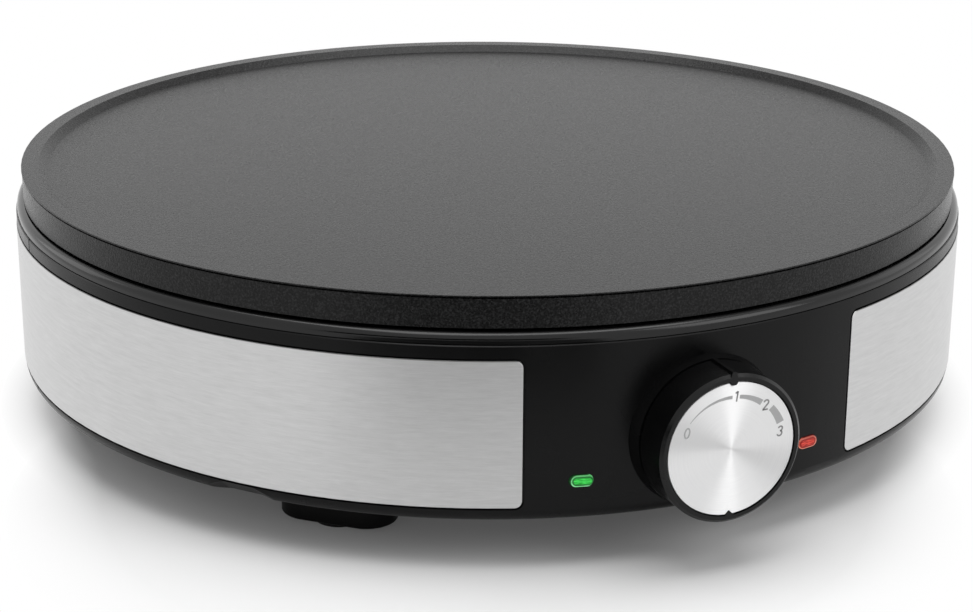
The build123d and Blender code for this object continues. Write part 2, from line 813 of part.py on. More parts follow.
with BuildPart() as base_pan:
    with BuildSketch(level(pan_bottom_z)):
        Circle(pan_radius)
        with PolarLocations(tower_circle, tower_count, tower_start):
            Circle(case_screw_radius + hole_fit, mode=Mode.SUBTRACT)
        with PolarLocations(vent_circle, vent_count):
            SlotOverall(vent_length, vent_width, mode=Mode.SUBTRACT)
    extrude(amount=pan_thickness)
    # seats of the plate standoffs, with sunk screw heads
    with BuildSketch(level(pan_bottom_z)):
        with PolarLocations(standoff_circle, standoff_count, standoff_start):
            Circle(pan_boss_radius)
    extrude(amount=standoff_base_z - pan_bottom_z)
    with BuildSketch(level(pan_bottom_z)):
        with PolarLocations(standoff_circle, standoff_count, standoff_start):
            Circle(head_ratio * plate_screw_radius + hole_fit)
    extrude(amount=plate_head_depth, mode=Mode.SUBTRACT)
    with BuildSketch(level(pan_bottom_z)):
        with PolarLocations(standoff_circle, standoff_count, standoff_start):
            Circle(plate_screw_radius + hole_fit)
    extrude(amount=standoff_base_z - pan_bottom_z, mode=Mode.SUBTRACT)
    # bosses for the foot screws
    with BuildSketch(level(pan_top_z)):
        with Locations(*foot_spots):
            Circle(foot_boss_radius)
    extrude(amount=foot_boss_height)
    with BuildSketch(level(pan_bottom_z)):
        with Locations(*foot_spots):
            Circle(case_screw_radius + thread_fit)
    extrude(amount=pan_thickness + foot_boss_height - hole_end_gap, mode=Mode.SUBTRACT)
    # posts of the cord clamp
    with BuildSketch(level(pan_top_z)):
        with Locations((-clamp_post_x, clamp_y), (clamp_post_x, clamp_y)):
            Circle(clamp_post_radius)
    extrude(amount=clamp_post_height)
    with BuildSketch(level(pan_top_z)):
        with Locations((-clamp_post_x, clamp_y), (clamp_post_x, clamp_y)):
            Circle(small_screw_radius + thread_fit)
    extrude(amount=clamp_post_height, mode=Mode.SUBTRACT)
    # tapped holes under the terminal block
    with BuildSketch(level(pan_bottom_z)):
        with Locations((-block_screw_x, block_y), (block_screw_x, block_y)):
            Circle(small_screw_radius + thread_fit)
    extrude(amount=pan_thickness, mode=Mode.SUBTRACT)
save(base_pan, "base_pan")

# ---------------------------------------------------------------- feet
pad_top_z = pad_proud + pad_seat
foot_head_gap = 0.4
foot_head_z = pad_top_z + foot_head_gap + head_height_ratio * case_screw_radius

for node, azimuth, spot in zip(foot_names, foot_azimuths, foot_spots):
    along_rim = (cos(radians(azimuth)), sin(radians(azimuth)), 0)
    foot_place = Plane(origin=(*spot, pad_proud), x_dir=along_rim, z_dir=(0, 0, 1))
    with BuildPart() as foot:
        with BuildSketch(foot_place):
            SlotOverall(foot_length, foot_width)
        extrude(amount=pan_bottom_z - pad_proud)
        fillet(foot.edges().group_by(Axis.Z)[0], radius=foot_rounding)
        with BuildSketch(level(pad_proud)):
            with Locations(spot):
                Circle(pad_radius + pad_side_gap)
        extrude(amount=pad_seat, mode=Mode.SUBTRACT)
        with BuildSketch(level(pad_top_z)):
            with Locations(spot):
                Circle(head_ratio * case_screw_radius + hole_fit)
        extrude(amount=foot_head_z - pad_top_z, mode=Mode.SUBTRACT)
        with BuildSketch(level(foot_head_z)):
            with Locations(spot):
                Circle(case_screw_radius + hole_fit)
        extrude(amount=pan_bottom_z - foot_head_z, mode=Mode.SUBTRACT)
    save(foot, node)

    with BuildPart() as foot_pad:
        with BuildSketch():
            with Locations(spot):
                Circle(pad_radius)
        extrude(amount=pad_top_z)
        fillet(foot_pad.edges().group_by(Axis.Z)[0], radius=pad_rounding)
    save(foot_pad, node.replace("foot", "pad"))

foot_screw_end_z = pan_top_z + foot_boss_height - 2 * hole_end_gap
foot_screw = pan_head_screw(case_screw_radius, foot_screw_end_z - foot_head_z)
with BuildPart() as foot_screws:
    with Locations(*[(x, y, foot_head_z) for x, y in foot_spots]):
        add(foot_screw)
save(foot_screws, "foot_screws")

case_screw = pan_head_screw(case_screw_radius, ring_top_z - ring_flange - pan_bottom_z)
with BuildPart() as case_screws:
    with Locations((0, 0, pan_bottom_z)):
        with PolarLocations(tower_circle, tower_count, tower_start):
            add(case_screw)
save(case_screws, "case_screws")

# ---------------------------------------------------------------- heat shield and standoffs
with BuildPart() as heat_shield:
    with BuildSketch(level(shield_z)):
        Circle(shield_radius)
    extrude(amount=shield_thickness)
    with BuildSketch(level(shield_z)):
        Circle(shield_radius)
        Circle(shield_radius - shield_thickness, mode=Mode.SUBTRACT)
    extrude(amount=shield_rim)
    with BuildSketch(level(shield_z)):
        with PolarLocations(standoff_circle, standoff_count, standoff_start):
            Circle(plate_screw_radius + hole_fit)
        with Locations(*leg_spots):
            Circle(leg_hole_radius)
        with Locations((-wire_hole_x, fuse_y), (wire_hole_x, fuse_y), (earth_wire_x, earth_y)):
            Circle(wire_hole_radius)
        with Locations((0, -bracket_back + bracket_slot_gap)):
            Rectangle(
                2 * (bracket_half_width + bracket_slot_gap),
                shield_radius,
                align=(Align.CENTER, Align.MAX),
            )
    extrude(amount=shield_rim, mode=Mode.SUBTRACT)
save(heat_shield, "heat_shield")

with BuildPart() as plate_standoffs:
    with BuildSketch(level(standoff_base_z)):
        with PolarLocations(standoff_circle, standoff_count, standoff_start):
            Circle(standoff_radius)
            Circle(standoff_radius - standoff_wall + hole_fit / 2, mode=Mode.SUBTRACT)
    extrude(amount=shield_z - standoff_base_z)
save(plate_standoffs, "plate_standoffs")

plate_screw_end_z = plate_under_z - 3 * hole_end_gap
plate_screw = pan_head_screw(plate_screw_radius, plate_screw_end_z - plate_head_z)
with BuildPart() as plate_screws:
    with Locations((0, 0, plate_head_z)):
        with PolarLocations(standoff_circle, standoff_count, standoff_start):
            add(plate_screw)
save(plate_screws, "plate_screws")

# ---------------------------------------------------------------- thermostat
with BuildPart() as thermostat_bracket:
    with BuildSketch(outward_plane(0, bracket_back, 0)):
        with Locations((0, bracket_low_z)):
            Rectangle(
                2 * bracket_half_width,
                bracket_top_z - bracket_low_z,
                align=(Align.CENTER, Align.MIN),
            )
        with Locations((0, knob_height)):
            Circle(sleeve_radius + hole_fit / 2, mode=Mode.SUBTRACT)
    extrude(amount=bracket_thickness)
    with BuildSketch(level(bracket_top_z)):
        with Locations((0, -bracket_front)):
            Rectangle(2 * bracket_half_width, bracket_flange_length, align=(Align.CENTER, Align.MIN))
        with Locations(
            (-bracket_screw_x, -bracket_screw_circle),
            (bracket_screw_x, -bracket_screw_circle),
        ):
            Circle(small_screw_radius + hole_fit, mode=Mode.SUBTRACT)
    extrude(amount=-bracket_thickness)
save(thermostat_bracket, "thermostat_bracket")

bracket_screw = pan_head_screw(small_screw_radius, bracket_thickness + bracket_boss_drop)
with BuildPart() as bracket_screws:
    with Locations(
        (-bracket_screw_x, -bracket_screw_circle, bracket_top_z - bracket_thickness),
        (bracket_screw_x, -bracket_screw_circle, bracket_top_z - bracket_thickness),
    ):
        add(bracket_screw)
save(bracket_screws, "bracket_screws")

with BuildPart() as thermostat_body:
    with BuildSketch(outward_plane(0, thermostat_back, knob_height)):
        Rectangle(thermostat_width, thermostat_height)
    extrude(amount=thermostat_depth)
    chamfer(thermostat_body.edges().filter_by(Axis.Y), length=block_chamfer)
    with BuildSketch(outward_plane(0, spindle_inner - spindle_end_gap, knob_height)):
        Circle(spindle_radius + spindle_fit)
    extrude(amount=bracket_back - spindle_inner + spindle_end_gap, mode=Mode.SUBTRACT)
save(thermostat_body, "thermostat_body")

with BuildPart() as thermostat_sleeve:
    with BuildSketch(outward_plane(0, bracket_back, knob_height)):
        Circle(sleeve_radius)
        Circle(spindle_radius + spindle_fit, mode=Mode.SUBTRACT)
    extrude(amount=sleeve_front - bracket_back)
save(thermostat_sleeve, "thermostat_sleeve")

with BuildPart() as thermostat_nut:
    with BuildSketch(outward_plane(0, bracket_front, knob_height)):
        RegularPolygon(nut_across_flats / 2, 6, major_radius=False)
        Circle(sleeve_radius + thread_fit, mode=Mode.SUBTRACT)
    extrude(amount=nut_thickness)
save(thermostat_nut, "thermostat_nut")

with BuildPart() as bimetal_strip:
    with BuildSketch(level(knob_height + thermostat_height / 2)):
        with Locations((0, -bracket_back + bimetal_end_gap)):
            Rectangle(bimetal_width, bimetal_length, align=(Align.CENTER, Align.MIN))
    extrude(amount=bimetal_thickness)
save(bimetal_strip, "bimetal_strip")

thermostat_tab_z = knob_height - thermostat_tab_drop
with BuildPart() as thermostat_tabs:
    with BuildSketch(outward_plane(0, thermostat_back, thermostat_tab_z)):
        with Locations((-thermostat_tab_x, 0), (thermostat_tab_x, 0)):
            Rectangle(tab_width, tab_thickness)
    extrude(amount=-tab_length)
save(thermostat_tabs, "thermostat_tabs")

spindle_tip = dial_back - web_thickness - spindle_end_gap
with BuildPart() as thermostat_spindle:
    with BuildSketch(outward_plane(0, spindle_inner, knob_height)):
        Circle(spindle_radius)
    extrude(amount=spindle_tip - spindle_inner)
    with BuildSketch(outward_plane(0, knob_back, knob_height)):
        with Locations((0, -spindle_radius + spindle_flat)):
            Rectangle(2 * spindle_radius, spindle_radius, align=(Align.CENTER, Align.MAX))
    extrude(amount=spindle_tip - knob_back, mode=Mode.SUBTRACT)
save(thermostat_spindle, "thermostat_spindle")

# ---------------------------------------------------------------- knob
web_front = dial_back
web_back = web_front - web_thickness
spring_room = spring_thickness + 2 * seat_clearance
bezel_edge = knob_radius - bezel_chamfer
with BuildSketch() as pointer_tip:
    with Locations((0, dial_radius - pointer_reach)):
        Rectangle(
            rib_width,
            bezel_edge - dial_radius + pointer_reach,
            align=(Align.CENTER, Align.MIN),
        )
    fillet(pointer_tip.vertices().group_by(Axis.Y)[0], radius=pointer_rounding)

with BuildSketch() as pip:
    with BuildLine():
        Polyline(
            (-pip_width / 2, -bezel_edge),
            (pip_width / 2, -bezel_edge),
            (0, pip_reach - dial_radius),
            close=True,
        )
    make_face()
    fillet(pip.vertices().group_by(Axis.Y)[-1], radius=pip_rounding)

with BuildPart() as knob:
    with BuildSketch(outward_plane(0, knob_back, knob_height)):
        Circle(knob_radius)
    extrude(amount=knob_face - knob_back)
    chamfer(knob.edges().group_by(Axis.Y)[0], length=bezel_chamfer)
    with BuildSketch(outward_plane(0, knob_back, knob_height)):
        Circle(knob_radius - knob_wall)
        Circle(hub_radius, mode=Mode.SUBTRACT)
    extrude(amount=web_back - knob_back, mode=Mode.SUBTRACT)
    with BuildSketch(outward_plane(0, web_front, knob_height)):
        Circle(dial_radius + dial_side_gap)
    extrude(amount=knob_face - web_front, mode=Mode.SUBTRACT)
    # bore for the spindle's flatted end and the spring on its flat
    with BuildSketch(outward_plane(0, knob_back, knob_height)):
        Circle(spindle_radius + seat_clearance)
        with Locations((0, -spindle_radius + spindle_flat - spring_room)):
            Rectangle(
                2 * hub_radius,
                hub_radius,
                align=(Align.CENTER, Align.MAX),
                mode=Mode.SUBTRACT,
            )
    extrude(amount=web_back - knob_back, mode=Mode.SUBTRACT)
    # pointer rib along the top, with a tip over the dial's edge
    rib_bottom = knob_radius - knob_wall / 2
    with BuildSketch(outward_plane(0, knob_back, knob_height)):
        with BuildLine():
            Polyline(
                (-rib_width / 2, rib_bottom),
                (rib_width / 2, rib_bottom),
                (rib_top_width / 2, knob_radius + rib_height),
                (-rib_top_width / 2, knob_radius + rib_height),
                close=True,
            )
        make_face()
    extrude(amount=knob_face - knob_back)
    with BuildSketch(outward_plane(0, web_front, knob_height)):
        add(pointer_tip.sketch)
        add(pip.sketch)
    extrude(amount=knob_face - web_front)
save(knob, "knob")

with BuildPart() as dial_disc:
    with BuildSketch(outward_plane(0, dial_back, knob_height)):
        Circle(dial_radius)
        offset(pointer_tip.sketch, amount=notch_clearance, mode=Mode.SUBTRACT)
        offset(pip.sketch, amount=notch_clearance, mode=Mode.SUBTRACT)
    extrude(amount=dial_thickness)
save(dial_disc, "dial_disc")

with BuildPart() as knob_spring:
    with BuildSketch(outward_plane(0, knob_back, knob_height)):
        with Locations((0, -spindle_radius + spindle_flat - seat_clearance)):
            Rectangle(spring_width, spring_thickness, align=(Align.CENTER, Align.MAX))
    extrude(amount=spindle_tip - knob_back)
save(knob_spring, "knob_spring")

# ---------------------------------------------------------------- lamps
lamp_front = lens_seat - lens_flange_thickness - lamp_front_gap
lamp_back = lamp_front - lamp_length
holder_front = lens_seat - lens_flange_thickness
holder_back = holder_front - holder_length

for colour, azimuth in (("green", -light_azimuth), ("red", light_azimuth)):
    with BuildPart() as lens:
        with BuildSketch(outward_plane(azimuth, holder_front, light_height)):
            Circle(lens_flange_radius)
        extrude(amount=lens_flange_thickness)
        with BuildSketch(outward_plane(azimuth, lens_seat, light_height)):
            SlotOverall(lens_length, lens_width)
        extrude(amount=housing_radius + lens_proud - lens_seat)
        face_edges = lens.faces().sort_by(lambda face: -abs(face.center()))[0].edges()
        fillet(face_edges, radius=lens_rounding)
    save(lens, f"{colour}_lens")

    with BuildPart() as lamp:
        with BuildSketch(outward_plane(azimuth, lamp_back, light_height)):
            Circle(lamp_radius)
        extrude(amount=lamp_length)
        tip_edge = lamp.faces().sort_by(lambda face: -abs(face.center()))[0].edges()
        fillet(tip_edge, radius=lamp_tip_ratio * lamp_radius)
    save(lamp, f"{colour}_lamp")

with BuildPart() as lamp_holders:
    for azimuth in (-light_azimuth, light_azimuth):
        with BuildSketch(outward_plane(azimuth, holder_back, light_height)):
            Circle(lens_flange_radius)
            Circle(holder_bore, mode=Mode.SUBTRACT)
        extrude(amount=holder_length)
save(lamp_holders, "lamp_holders")

# ---------------------------------------------------------------- mains inlet
gland_face = band_outer_radius + seat_clearance
with BuildPart() as cord_gland:
    with BuildSketch(outward_plane(180, gland_face + gland_flange_thickness - gland_length, gland_height)):
        Circle(gland_radius)
    extrude(amount=gland_length)
    with BuildSketch(outward_plane(180, gland_face, gland_height)):
        Circle(gland_flange_radius)
    extrude(amount=gland_flange_thickness)
    fillet(cord_gland.edges().group_by(Axis.Y)[-1], radius=gland_rounding)
    with BuildSketch(outward_plane(180, gland_face - gland_length, gland_height)):
        Circle(gland_bore)
    extrude(amount=2 * gland_length, mode=Mode.SUBTRACT)
save(cord_gland, "cord_gland")

gland_nut_corner = gland_nut_flats / sqrt(3)
gland_nut_face = sqrt(housing_inner_radius**2 - gland_nut_corner**2) - seat_clearance
with BuildPart() as gland_nut:
    with BuildSketch(outward_plane(180, gland_nut_face, gland_height)):
        RegularPolygon(gland_nut_flats / 2, 6, major_radius=False)
        Circle(gland_radius + thread_fit, mode=Mode.SUBTRACT)
    extrude(amount=-gland_nut_thickness)
save(gland_nut, "gland_nut")

clamp_bar_z = pan_top_z + clamp_post_height
with BuildPart() as cord_clamp:
    with BuildSketch(level(clamp_bar_z)):
        with Locations((0, clamp_y)):
            SlotOverall(clamp_bar_length, clamp_bar_width)
        with Locations((-clamp_post_x, clamp_y), (clamp_post_x, clamp_y)):
            Circle(small_screw_radius + hole_fit, mode=Mode.SUBTRACT)
    extrude(amount=clamp_bar_thickness)
    with BuildSketch(Plane.XZ.offset(-clamp_y)):
        with Locations((0, clamp_bar_z - cord_groove_radius + cord_groove_depth)):
            Circle(cord_groove_radius)
    extrude(amount=clamp_bar_width, both=True, mode=Mode.SUBTRACT)
save(cord_clamp, "cord_clamp")

clamp_screw_length = clamp_bar_thickness + clamp_post_height - hole_end_gap
short_screw = pan_head_screw(small_screw_radius, clamp_screw_length)
with BuildPart() as cord_clamp_screws:
    with Locations(
        Location((-clamp_post_x, clamp_y, clamp_bar_z + clamp_bar_thickness), (180, 0, 0)),
        Location((clamp_post_x, clamp_y, clamp_bar_z + clamp_bar_thickness), (180, 0, 0)),
    ):
        add(short_screw)
save(cord_clamp_screws, "cord_clamp_screws")

block_top_z = pan_top_z + block_height
block_well = head_height_ratio * small_screw_radius + head_recess
block_spots = [(-block_screw_x, block_y), (block_screw_x, block_y)]
with BuildPart() as terminal_block:
    with BuildSketch(level(pan_top_z)):
        with Locations((0, block_y)):
            Rectangle(block_length, block_width)
    extrude(amount=block_height)
    chamfer(terminal_block.edges().group_by(Axis.Z)[-1], length=block_chamfer_length)
    with BuildSketch(level(block_top_z)):
        with Locations(*block_spots):
            Circle(head_ratio * small_screw_radius + hole_fit)
    extrude(amount=-block_well, mode=Mode.SUBTRACT)
    with BuildSketch(level(pan_top_z)):
        with Locations(*block_spots):
            Circle(small_screw_radius + hole_fit)
    extrude(amount=block_height, mode=Mode.SUBTRACT)
save(terminal_block, "terminal_block")

block_screw = pan_head_screw(small_screw_radius, block_height - block_well + pan_thickness)
with BuildPart() as block_screws:
    with Locations(
        *[Location((x, y, block_top_z - block_well), (180, 0, 0)) for x, y in block_spots]
    ):
        add(block_screw)
save(block_screws, "block_screws")

# ---------------------------------------------------------------- thermal fuse and earth
fuse_z = plate_under_z - fuse_drop
fuse_strap_inner = fuse_sleeve_radius + seat_clearance
with BuildPart() as thermal_fuse:
    with BuildSketch(Plane.YZ):
        with Locations((fuse_y, fuse_z)):
            Circle(fuse_radius)
    extrude(amount=fuse_length / 2, both=True)
    with BuildSketch(Plane.YZ):
        with Locations((fuse_y, fuse_z)):
            Circle(fuse_lead_radius)
    extrude(amount=fuse_lead_reach, both=True)
save(thermal_fuse, "thermal_fuse")

with BuildPart() as fuse_sleeve:
    with BuildSketch(Plane.YZ):
        with Locations((fuse_y, fuse_z)):
            Circle(fuse_sleeve_radius)
            Circle(fuse_sleeve_radius - fuse_sleeve_wall, mode=Mode.SUBTRACT)
    extrude(amount=fuse_sleeve_length / 2, both=True)
save(fuse_sleeve, "fuse_sleeve")

fuse_screw_spots = [(0, fuse_y - fuse_screw_distance), (0, fuse_y + fuse_screw_distance)]
fuse_strap = saddle_strap(Plane.YZ, (fuse_y, fuse_z), fuse_strap_inner, fuse_strap_foot)
with BuildPart() as fuse_clip:
    extrude(fuse_strap, amount=strap_width / 2, both=True)
    with BuildSketch(level(fuse_z)):
        with Locations(*fuse_screw_spots):
            Circle(small_screw_radius + hole_fit)
    extrude(amount=-strap_thickness, mode=Mode.SUBTRACT)
save(fuse_clip, "fuse_clip")

fuse_screw = pan_head_screw(small_screw_radius, strap_thickness + fuse_drop)
with BuildPart() as fuse_screws:
    with Locations(*[(x, y, fuse_z - strap_thickness) for x, y in fuse_screw_spots]):
        add(fuse_screw)
save(fuse_screws, "fuse_screws")

with BuildPart() as earth_lug:
    with BuildSketch(level(earth_boss_z)):
        with Locations((earth_wire_x / 2, earth_y)):
            SlotCenterToCenter(earth_wire_x, earth_lug_width)
        with Locations((0, earth_y)):
            Circle(plate_screw_radius + hole_fit, mode=Mode.SUBTRACT)
    extrude(amount=-earth_lug_thickness)
save(earth_lug, "earth_lug")

earth_bolt = pan_head_screw(plate_screw_radius, earth_lug_thickness + thread_reach)
with BuildPart() as earth_screw:
    with Locations((0, earth_y, earth_boss_z - earth_lug_thickness)):
        add(earth_bolt)
save(earth_screw, "earth_screw")

# ---------------------------------------------------------------- push-on terminals
thermostat_mouth = thermostat_back - receptacle_gap
pin_mouth_z = pin_bottom_z - receptacle_gap
receptacle_slot = tab_length - receptacle_gap + tab_end_gap
with BuildPart() as wire_terminals:
    with BuildSketch(outward_plane(0, thermostat_mouth, thermostat_tab_z)):
        with Locations((-thermostat_tab_x, 0), (thermostat_tab_x, 0)):
            RectangleRounded(receptacle_width, receptacle_height, receptacle_height / 4)
    extrude(amount=-receptacle_length)
    with BuildSketch(outward_plane(0, thermostat_mouth, thermostat_tab_z)):
        with Locations((-thermostat_tab_x, 0), (thermostat_tab_x, 0)):
            Rectangle(tab_width + 2 * tab_fit, tab_thickness + 2 * tab_fit)
    extrude(amount=-receptacle_slot, mode=Mode.SUBTRACT)
    with BuildSketch(level(pin_mouth_z)):
        with Locations(*leg_spots):
            RectangleRounded(receptacle_width, receptacle_height, receptacle_height / 4)
    extrude(amount=-receptacle_length)
    with BuildSketch(level(pin_mouth_z)):
        with Locations(*leg_spots):
            Rectangle(tab_width + 2 * tab_fit, tab_thickness + 2 * tab_fit)
    extrude(amount=-receptacle_slot, mode=Mode.SUBTRACT)
save(wire_terminals, "wire_terminals")

# ---------------------------------------------------------------- leads
block_front = block_y - block_width / 2
entry_z = pan_top_z + entry_height
thermostat_wire_y = -(thermostat_mouth - receptacle_length)
pin_wire_z = pin_mouth_z - receptacle_length

wire_live = lead(
    [
        (-block_pole_pitch, block_front, entry_z),
        (-block_pole_pitch, block_front - 2 * lead_run, entry_z),
        (-block_pole_pitch - lead_sway, 0, floor_run_z),
        (-thermostat_tab_x - lead_sway / 2, thermostat_wire_y + 6 * lead_run, floor_run_z + lead_sway / 2),
        (-thermostat_tab_x, thermostat_wire_y + 2 * lead_run, thermostat_tab_z),
        (-thermostat_tab_x, thermostat_wire_y, thermostat_tab_z),
    ],
    wire_radius,
)
save(wire_live, "wire_live")

wire_switched = lead(
    [
        (thermostat_tab_x, thermostat_wire_y, thermostat_tab_z),
        (thermostat_tab_x, thermostat_wire_y + 2 * lead_run, thermostat_tab_z),
        (wire_hole_x, thermostat_wire_y + 8 * lead_run, floor_run_z + lead_run),
        (wire_hole_x, fuse_y - 4 * lead_run, floor_run_z + lead_run),
        (wire_hole_x, fuse_y, floor_run_z + 3 * lead_run),
        (wire_hole_x, fuse_y, fuse_z),
        (fuse_lead_reach, fuse_y, fuse_z),
    ],
    wire_radius,
)
save(wire_switched, "wire_switched")

wire_fused = lead(
    [
        (-fuse_lead_reach, fuse_y, fuse_z),
        (-wire_hole_x, fuse_y, fuse_z),
        (-wire_hole_x, fuse_y, entry_z + 3 * lead_run),
        (-wire_hole_x, block_y, entry_z + 2 * lead_run),
        (-wire_hole_x, element_leg_y - lead_run, floor_run_z),
        (-element_leg_x, element_leg_y, floor_run_z),
        (-element_leg_x, element_leg_y, pin_wire_z),
    ],
    wire_radius,
)
save(wire_fused, "wire_fused")

neutral_run_x = block_length / 2 + lead_run
wire_neutral = lead(
    [
        (0, block_front, entry_z),
        (0, block_front - lead_run, entry_z),
        (lead_sway / 2, block_front - 2 * lead_run, floor_run_z),
        (neutral_run_x, block_front - 2 * lead_run, floor_run_z),
        (neutral_run_x, element_leg_y - 2 * lead_run, floor_run_z),
        (element_leg_x, element_leg_y, floor_run_z),
        (element_leg_x, element_leg_y, pin_wire_z),
    ],
    wire_radius,
)
save(wire_neutral, "wire_neutral")

wire_earth = lead(
    [
        (block_pole_pitch, block_front, entry_z),
        (block_pole_pitch, block_front - 5 * lead_run, entry_z),
        (earth_wire_x, earth_y, entry_z + lead_run / 2),
        (earth_wire_x, earth_y, earth_boss_z - earth_lug_thickness),
    ],
    wire_radius,
)
save(wire_earth, "wire_earth")

block_end_x = block_length / 2
block_side_x = block_end_x + lamp_end_run
lamp_entry_z = pan_top_z + lamp_entry_height
lamp_front_turn_y = -(element_circle - lead_run)
lamp_floor_y = -(standoff_circle - 4 * lead_run)


def lamp_lead_points(side, offset):
    """Route of one lamp lead from the lamp's back to the end of the terminal block."""
    socket = outward_plane(side * light_azimuth, lamp_back, light_height)
    start = socket.origin + socket.x_dir * offset
    inner = start - socket.z_dir * lamp_lead_straight
    run_x = side * lamp_run_x + offset
    end_y = block_y + side * offset
    return [
        start,
        inner,
        Vector(run_x, lamp_front_turn_y, floor_run_z + lead_sway / 2),
        Vector(run_x, lamp_floor_y, floor_run_z),
        Vector(run_x, block_y + block_side_x - lamp_run_x, floor_run_z),
        Vector(side * block_side_x, end_y, lamp_entry_z),
        Vector(side * block_end_x, end_y, lamp_entry_z),
    ]


lamp_leads_list = [
    lead(lamp_lead_points(side, offset), lamp_lead_radius)
    for side in (-1, 1)
    for offset in (-lamp_lead_pitch / 2, lamp_lead_pitch / 2)
]
with BuildPart() as lamp_leads:
    for lamp_lead in lamp_leads_list:
        add(lamp_lead.part)
save(lamp_leads, "lamp_leads")
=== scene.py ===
import json

import bpy
import numpy as np
from mathutils import Matrix, Vector


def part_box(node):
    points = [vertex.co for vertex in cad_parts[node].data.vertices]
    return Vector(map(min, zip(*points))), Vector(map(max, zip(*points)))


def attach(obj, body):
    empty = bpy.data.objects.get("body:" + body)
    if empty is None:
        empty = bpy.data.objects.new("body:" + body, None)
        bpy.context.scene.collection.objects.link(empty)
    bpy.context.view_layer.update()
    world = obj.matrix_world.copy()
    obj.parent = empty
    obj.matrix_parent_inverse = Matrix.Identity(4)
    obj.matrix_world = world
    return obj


# The crepe maker's looks. Metres, +Z up, the knob faces -Y, and the origin is on the body's
# axis at worktop level. Noise scales are in waves per metre, or per radian round an axis.

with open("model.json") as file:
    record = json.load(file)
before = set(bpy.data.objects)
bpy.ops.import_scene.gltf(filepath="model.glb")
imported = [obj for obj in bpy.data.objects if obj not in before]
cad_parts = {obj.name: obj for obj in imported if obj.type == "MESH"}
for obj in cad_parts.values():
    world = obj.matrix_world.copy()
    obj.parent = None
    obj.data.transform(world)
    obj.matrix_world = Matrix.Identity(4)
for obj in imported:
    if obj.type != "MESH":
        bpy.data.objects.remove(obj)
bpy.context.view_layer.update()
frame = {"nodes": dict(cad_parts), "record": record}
nodes = frame["nodes"]
scene = bpy.context.scene

dial_low, dial_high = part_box("dial_disc")
dial_middle = ((dial_low.x + dial_high.x) / 2, 0.0, (dial_low.z + dial_high.z) / 2)
dial_front = dial_low.y

# ---------------------------------------------------------------- shader parts
mix_first, mix_second, mix_result = 6, 7, 2  # the colour sockets of a Mix node


def even(tone):
    """A neutral grey."""
    return (tone, tone, tone)


def times(colour, share):
    """A colour with every channel scaled."""
    return tuple(share * channel for channel in colour)


def blank(name, colour, roughness, metallic=0.0, specular=0.5):
    """A material with one shader, its plain values set on the shader's own sockets."""
    material = bpy.data.materials.new(name)
    material.use_nodes = True
    tree = material.node_tree
    shader = tree.nodes["Principled BSDF"]
    shader.inputs["Base Color"].default_value = (*colour, 1.0)
    shader.inputs["Roughness"].default_value = roughness
    shader.inputs["Metallic"].default_value = metallic
    shader.inputs["Specular IOR Level"].default_value = specular
    return material, tree, shader


def add(tree, kind, **values):
    """Adds a node. Names with a capital set its inputs, the others its properties."""
    node = tree.nodes.new(kind)
    for key, value in values.items():
        if key[0].isupper():
            node.inputs[key.replace("_", " ")].default_value = value
        else:
            setattr(node, key, value)
    return node


def calc(tree, operation, *values):
    """One sum on one or two values, each a socket or a number."""
    node = add(tree, "ShaderNodeMath", operation=operation)
    for value, socket in zip(values, node.inputs):
        if isinstance(value, float):
            socket.default_value = value
        else:
            tree.links.new(value, socket)
    return node.outputs[0]


def noise(tree, vector, scale, detail=2.0, rough=0.5):
    """Noise over a vector, from 0 to 1."""
    node = add(tree, "ShaderNodeTexNoise", Scale=scale, Detail=detail, Roughness=rough)
    tree.links.new(vector, node.inputs["Vector"])
    return node.outputs["Fac"]


def spread(tree, value, low, high, start=0.3, end=0.7):
    """Maps a value from start..end to low..high, and stays between them."""
    node = add(
        tree, "ShaderNodeMapRange", From_Min=start, From_Max=end, To_Min=low, To_Max=high
    )
    tree.links.new(value, node.inputs["Value"])
    return node.outputs["Result"]


def rising(tree, value, start=0.3, end=0.7):
    """0 up to start, 1 from end on, and a straight line between."""
    return spread(tree, value, 0.0, 1.0, start, end)


def tint(tree, value, first, second):
    """A colour between two, each plain or a socket, by a value from 0 to 1."""
    node = add(tree, "ShaderNodeMix", data_type="RGBA")
    tree.links.new(value, node.inputs["Factor"])
    for colour, index in ((first, mix_first), (second, mix_second)):
        if isinstance(colour, tuple):
            node.inputs[index].default_value = (*colour, 1.0)
        else:
            tree.links.new(colour, node.inputs[index])
    return node.outputs[mix_result]


def emboss(tree, shader, value, strength, distance):
    """Bumps the surface by a value."""
    node = add(tree, "ShaderNodeBump", Strength=strength, Distance=distance)
    tree.links.new(value, node.inputs["Height"])
    tree.links.new(node.outputs["Normal"], shader.inputs["Normal"])


def place(tree):
    """The surface's place on the object, in metres."""
    return add(tree, "ShaderNodeTexCoord").outputs["Object"]


def from_centre(tree, centre):
    """The place as seen from a centre: the vector and its X, Y and Z."""
    shift = add(tree, "ShaderNodeVectorMath", operation="SUBTRACT")
    tree.links.new(place(tree), shift.inputs[0])
    shift.inputs[1].default_value = centre
    split = add(tree, "ShaderNodeSeparateXYZ")
    tree.links.new(shift.outputs[0], split.inputs[0])
    return shift.outputs[0], *split.outputs


def distance(tree, first, second):
    """How far apart two values at a right angle reach."""
    pair = add(tree, "ShaderNodeCombineXYZ")
    tree.links.new(first, pair.inputs[0])
    tree.links.new(second, pair.inputs[1])
    far = add(tree, "ShaderNodeVectorMath", operation="LENGTH")
    tree.links.new(pair.outputs[0], far.inputs[0])
    return far.outputs["Value"]


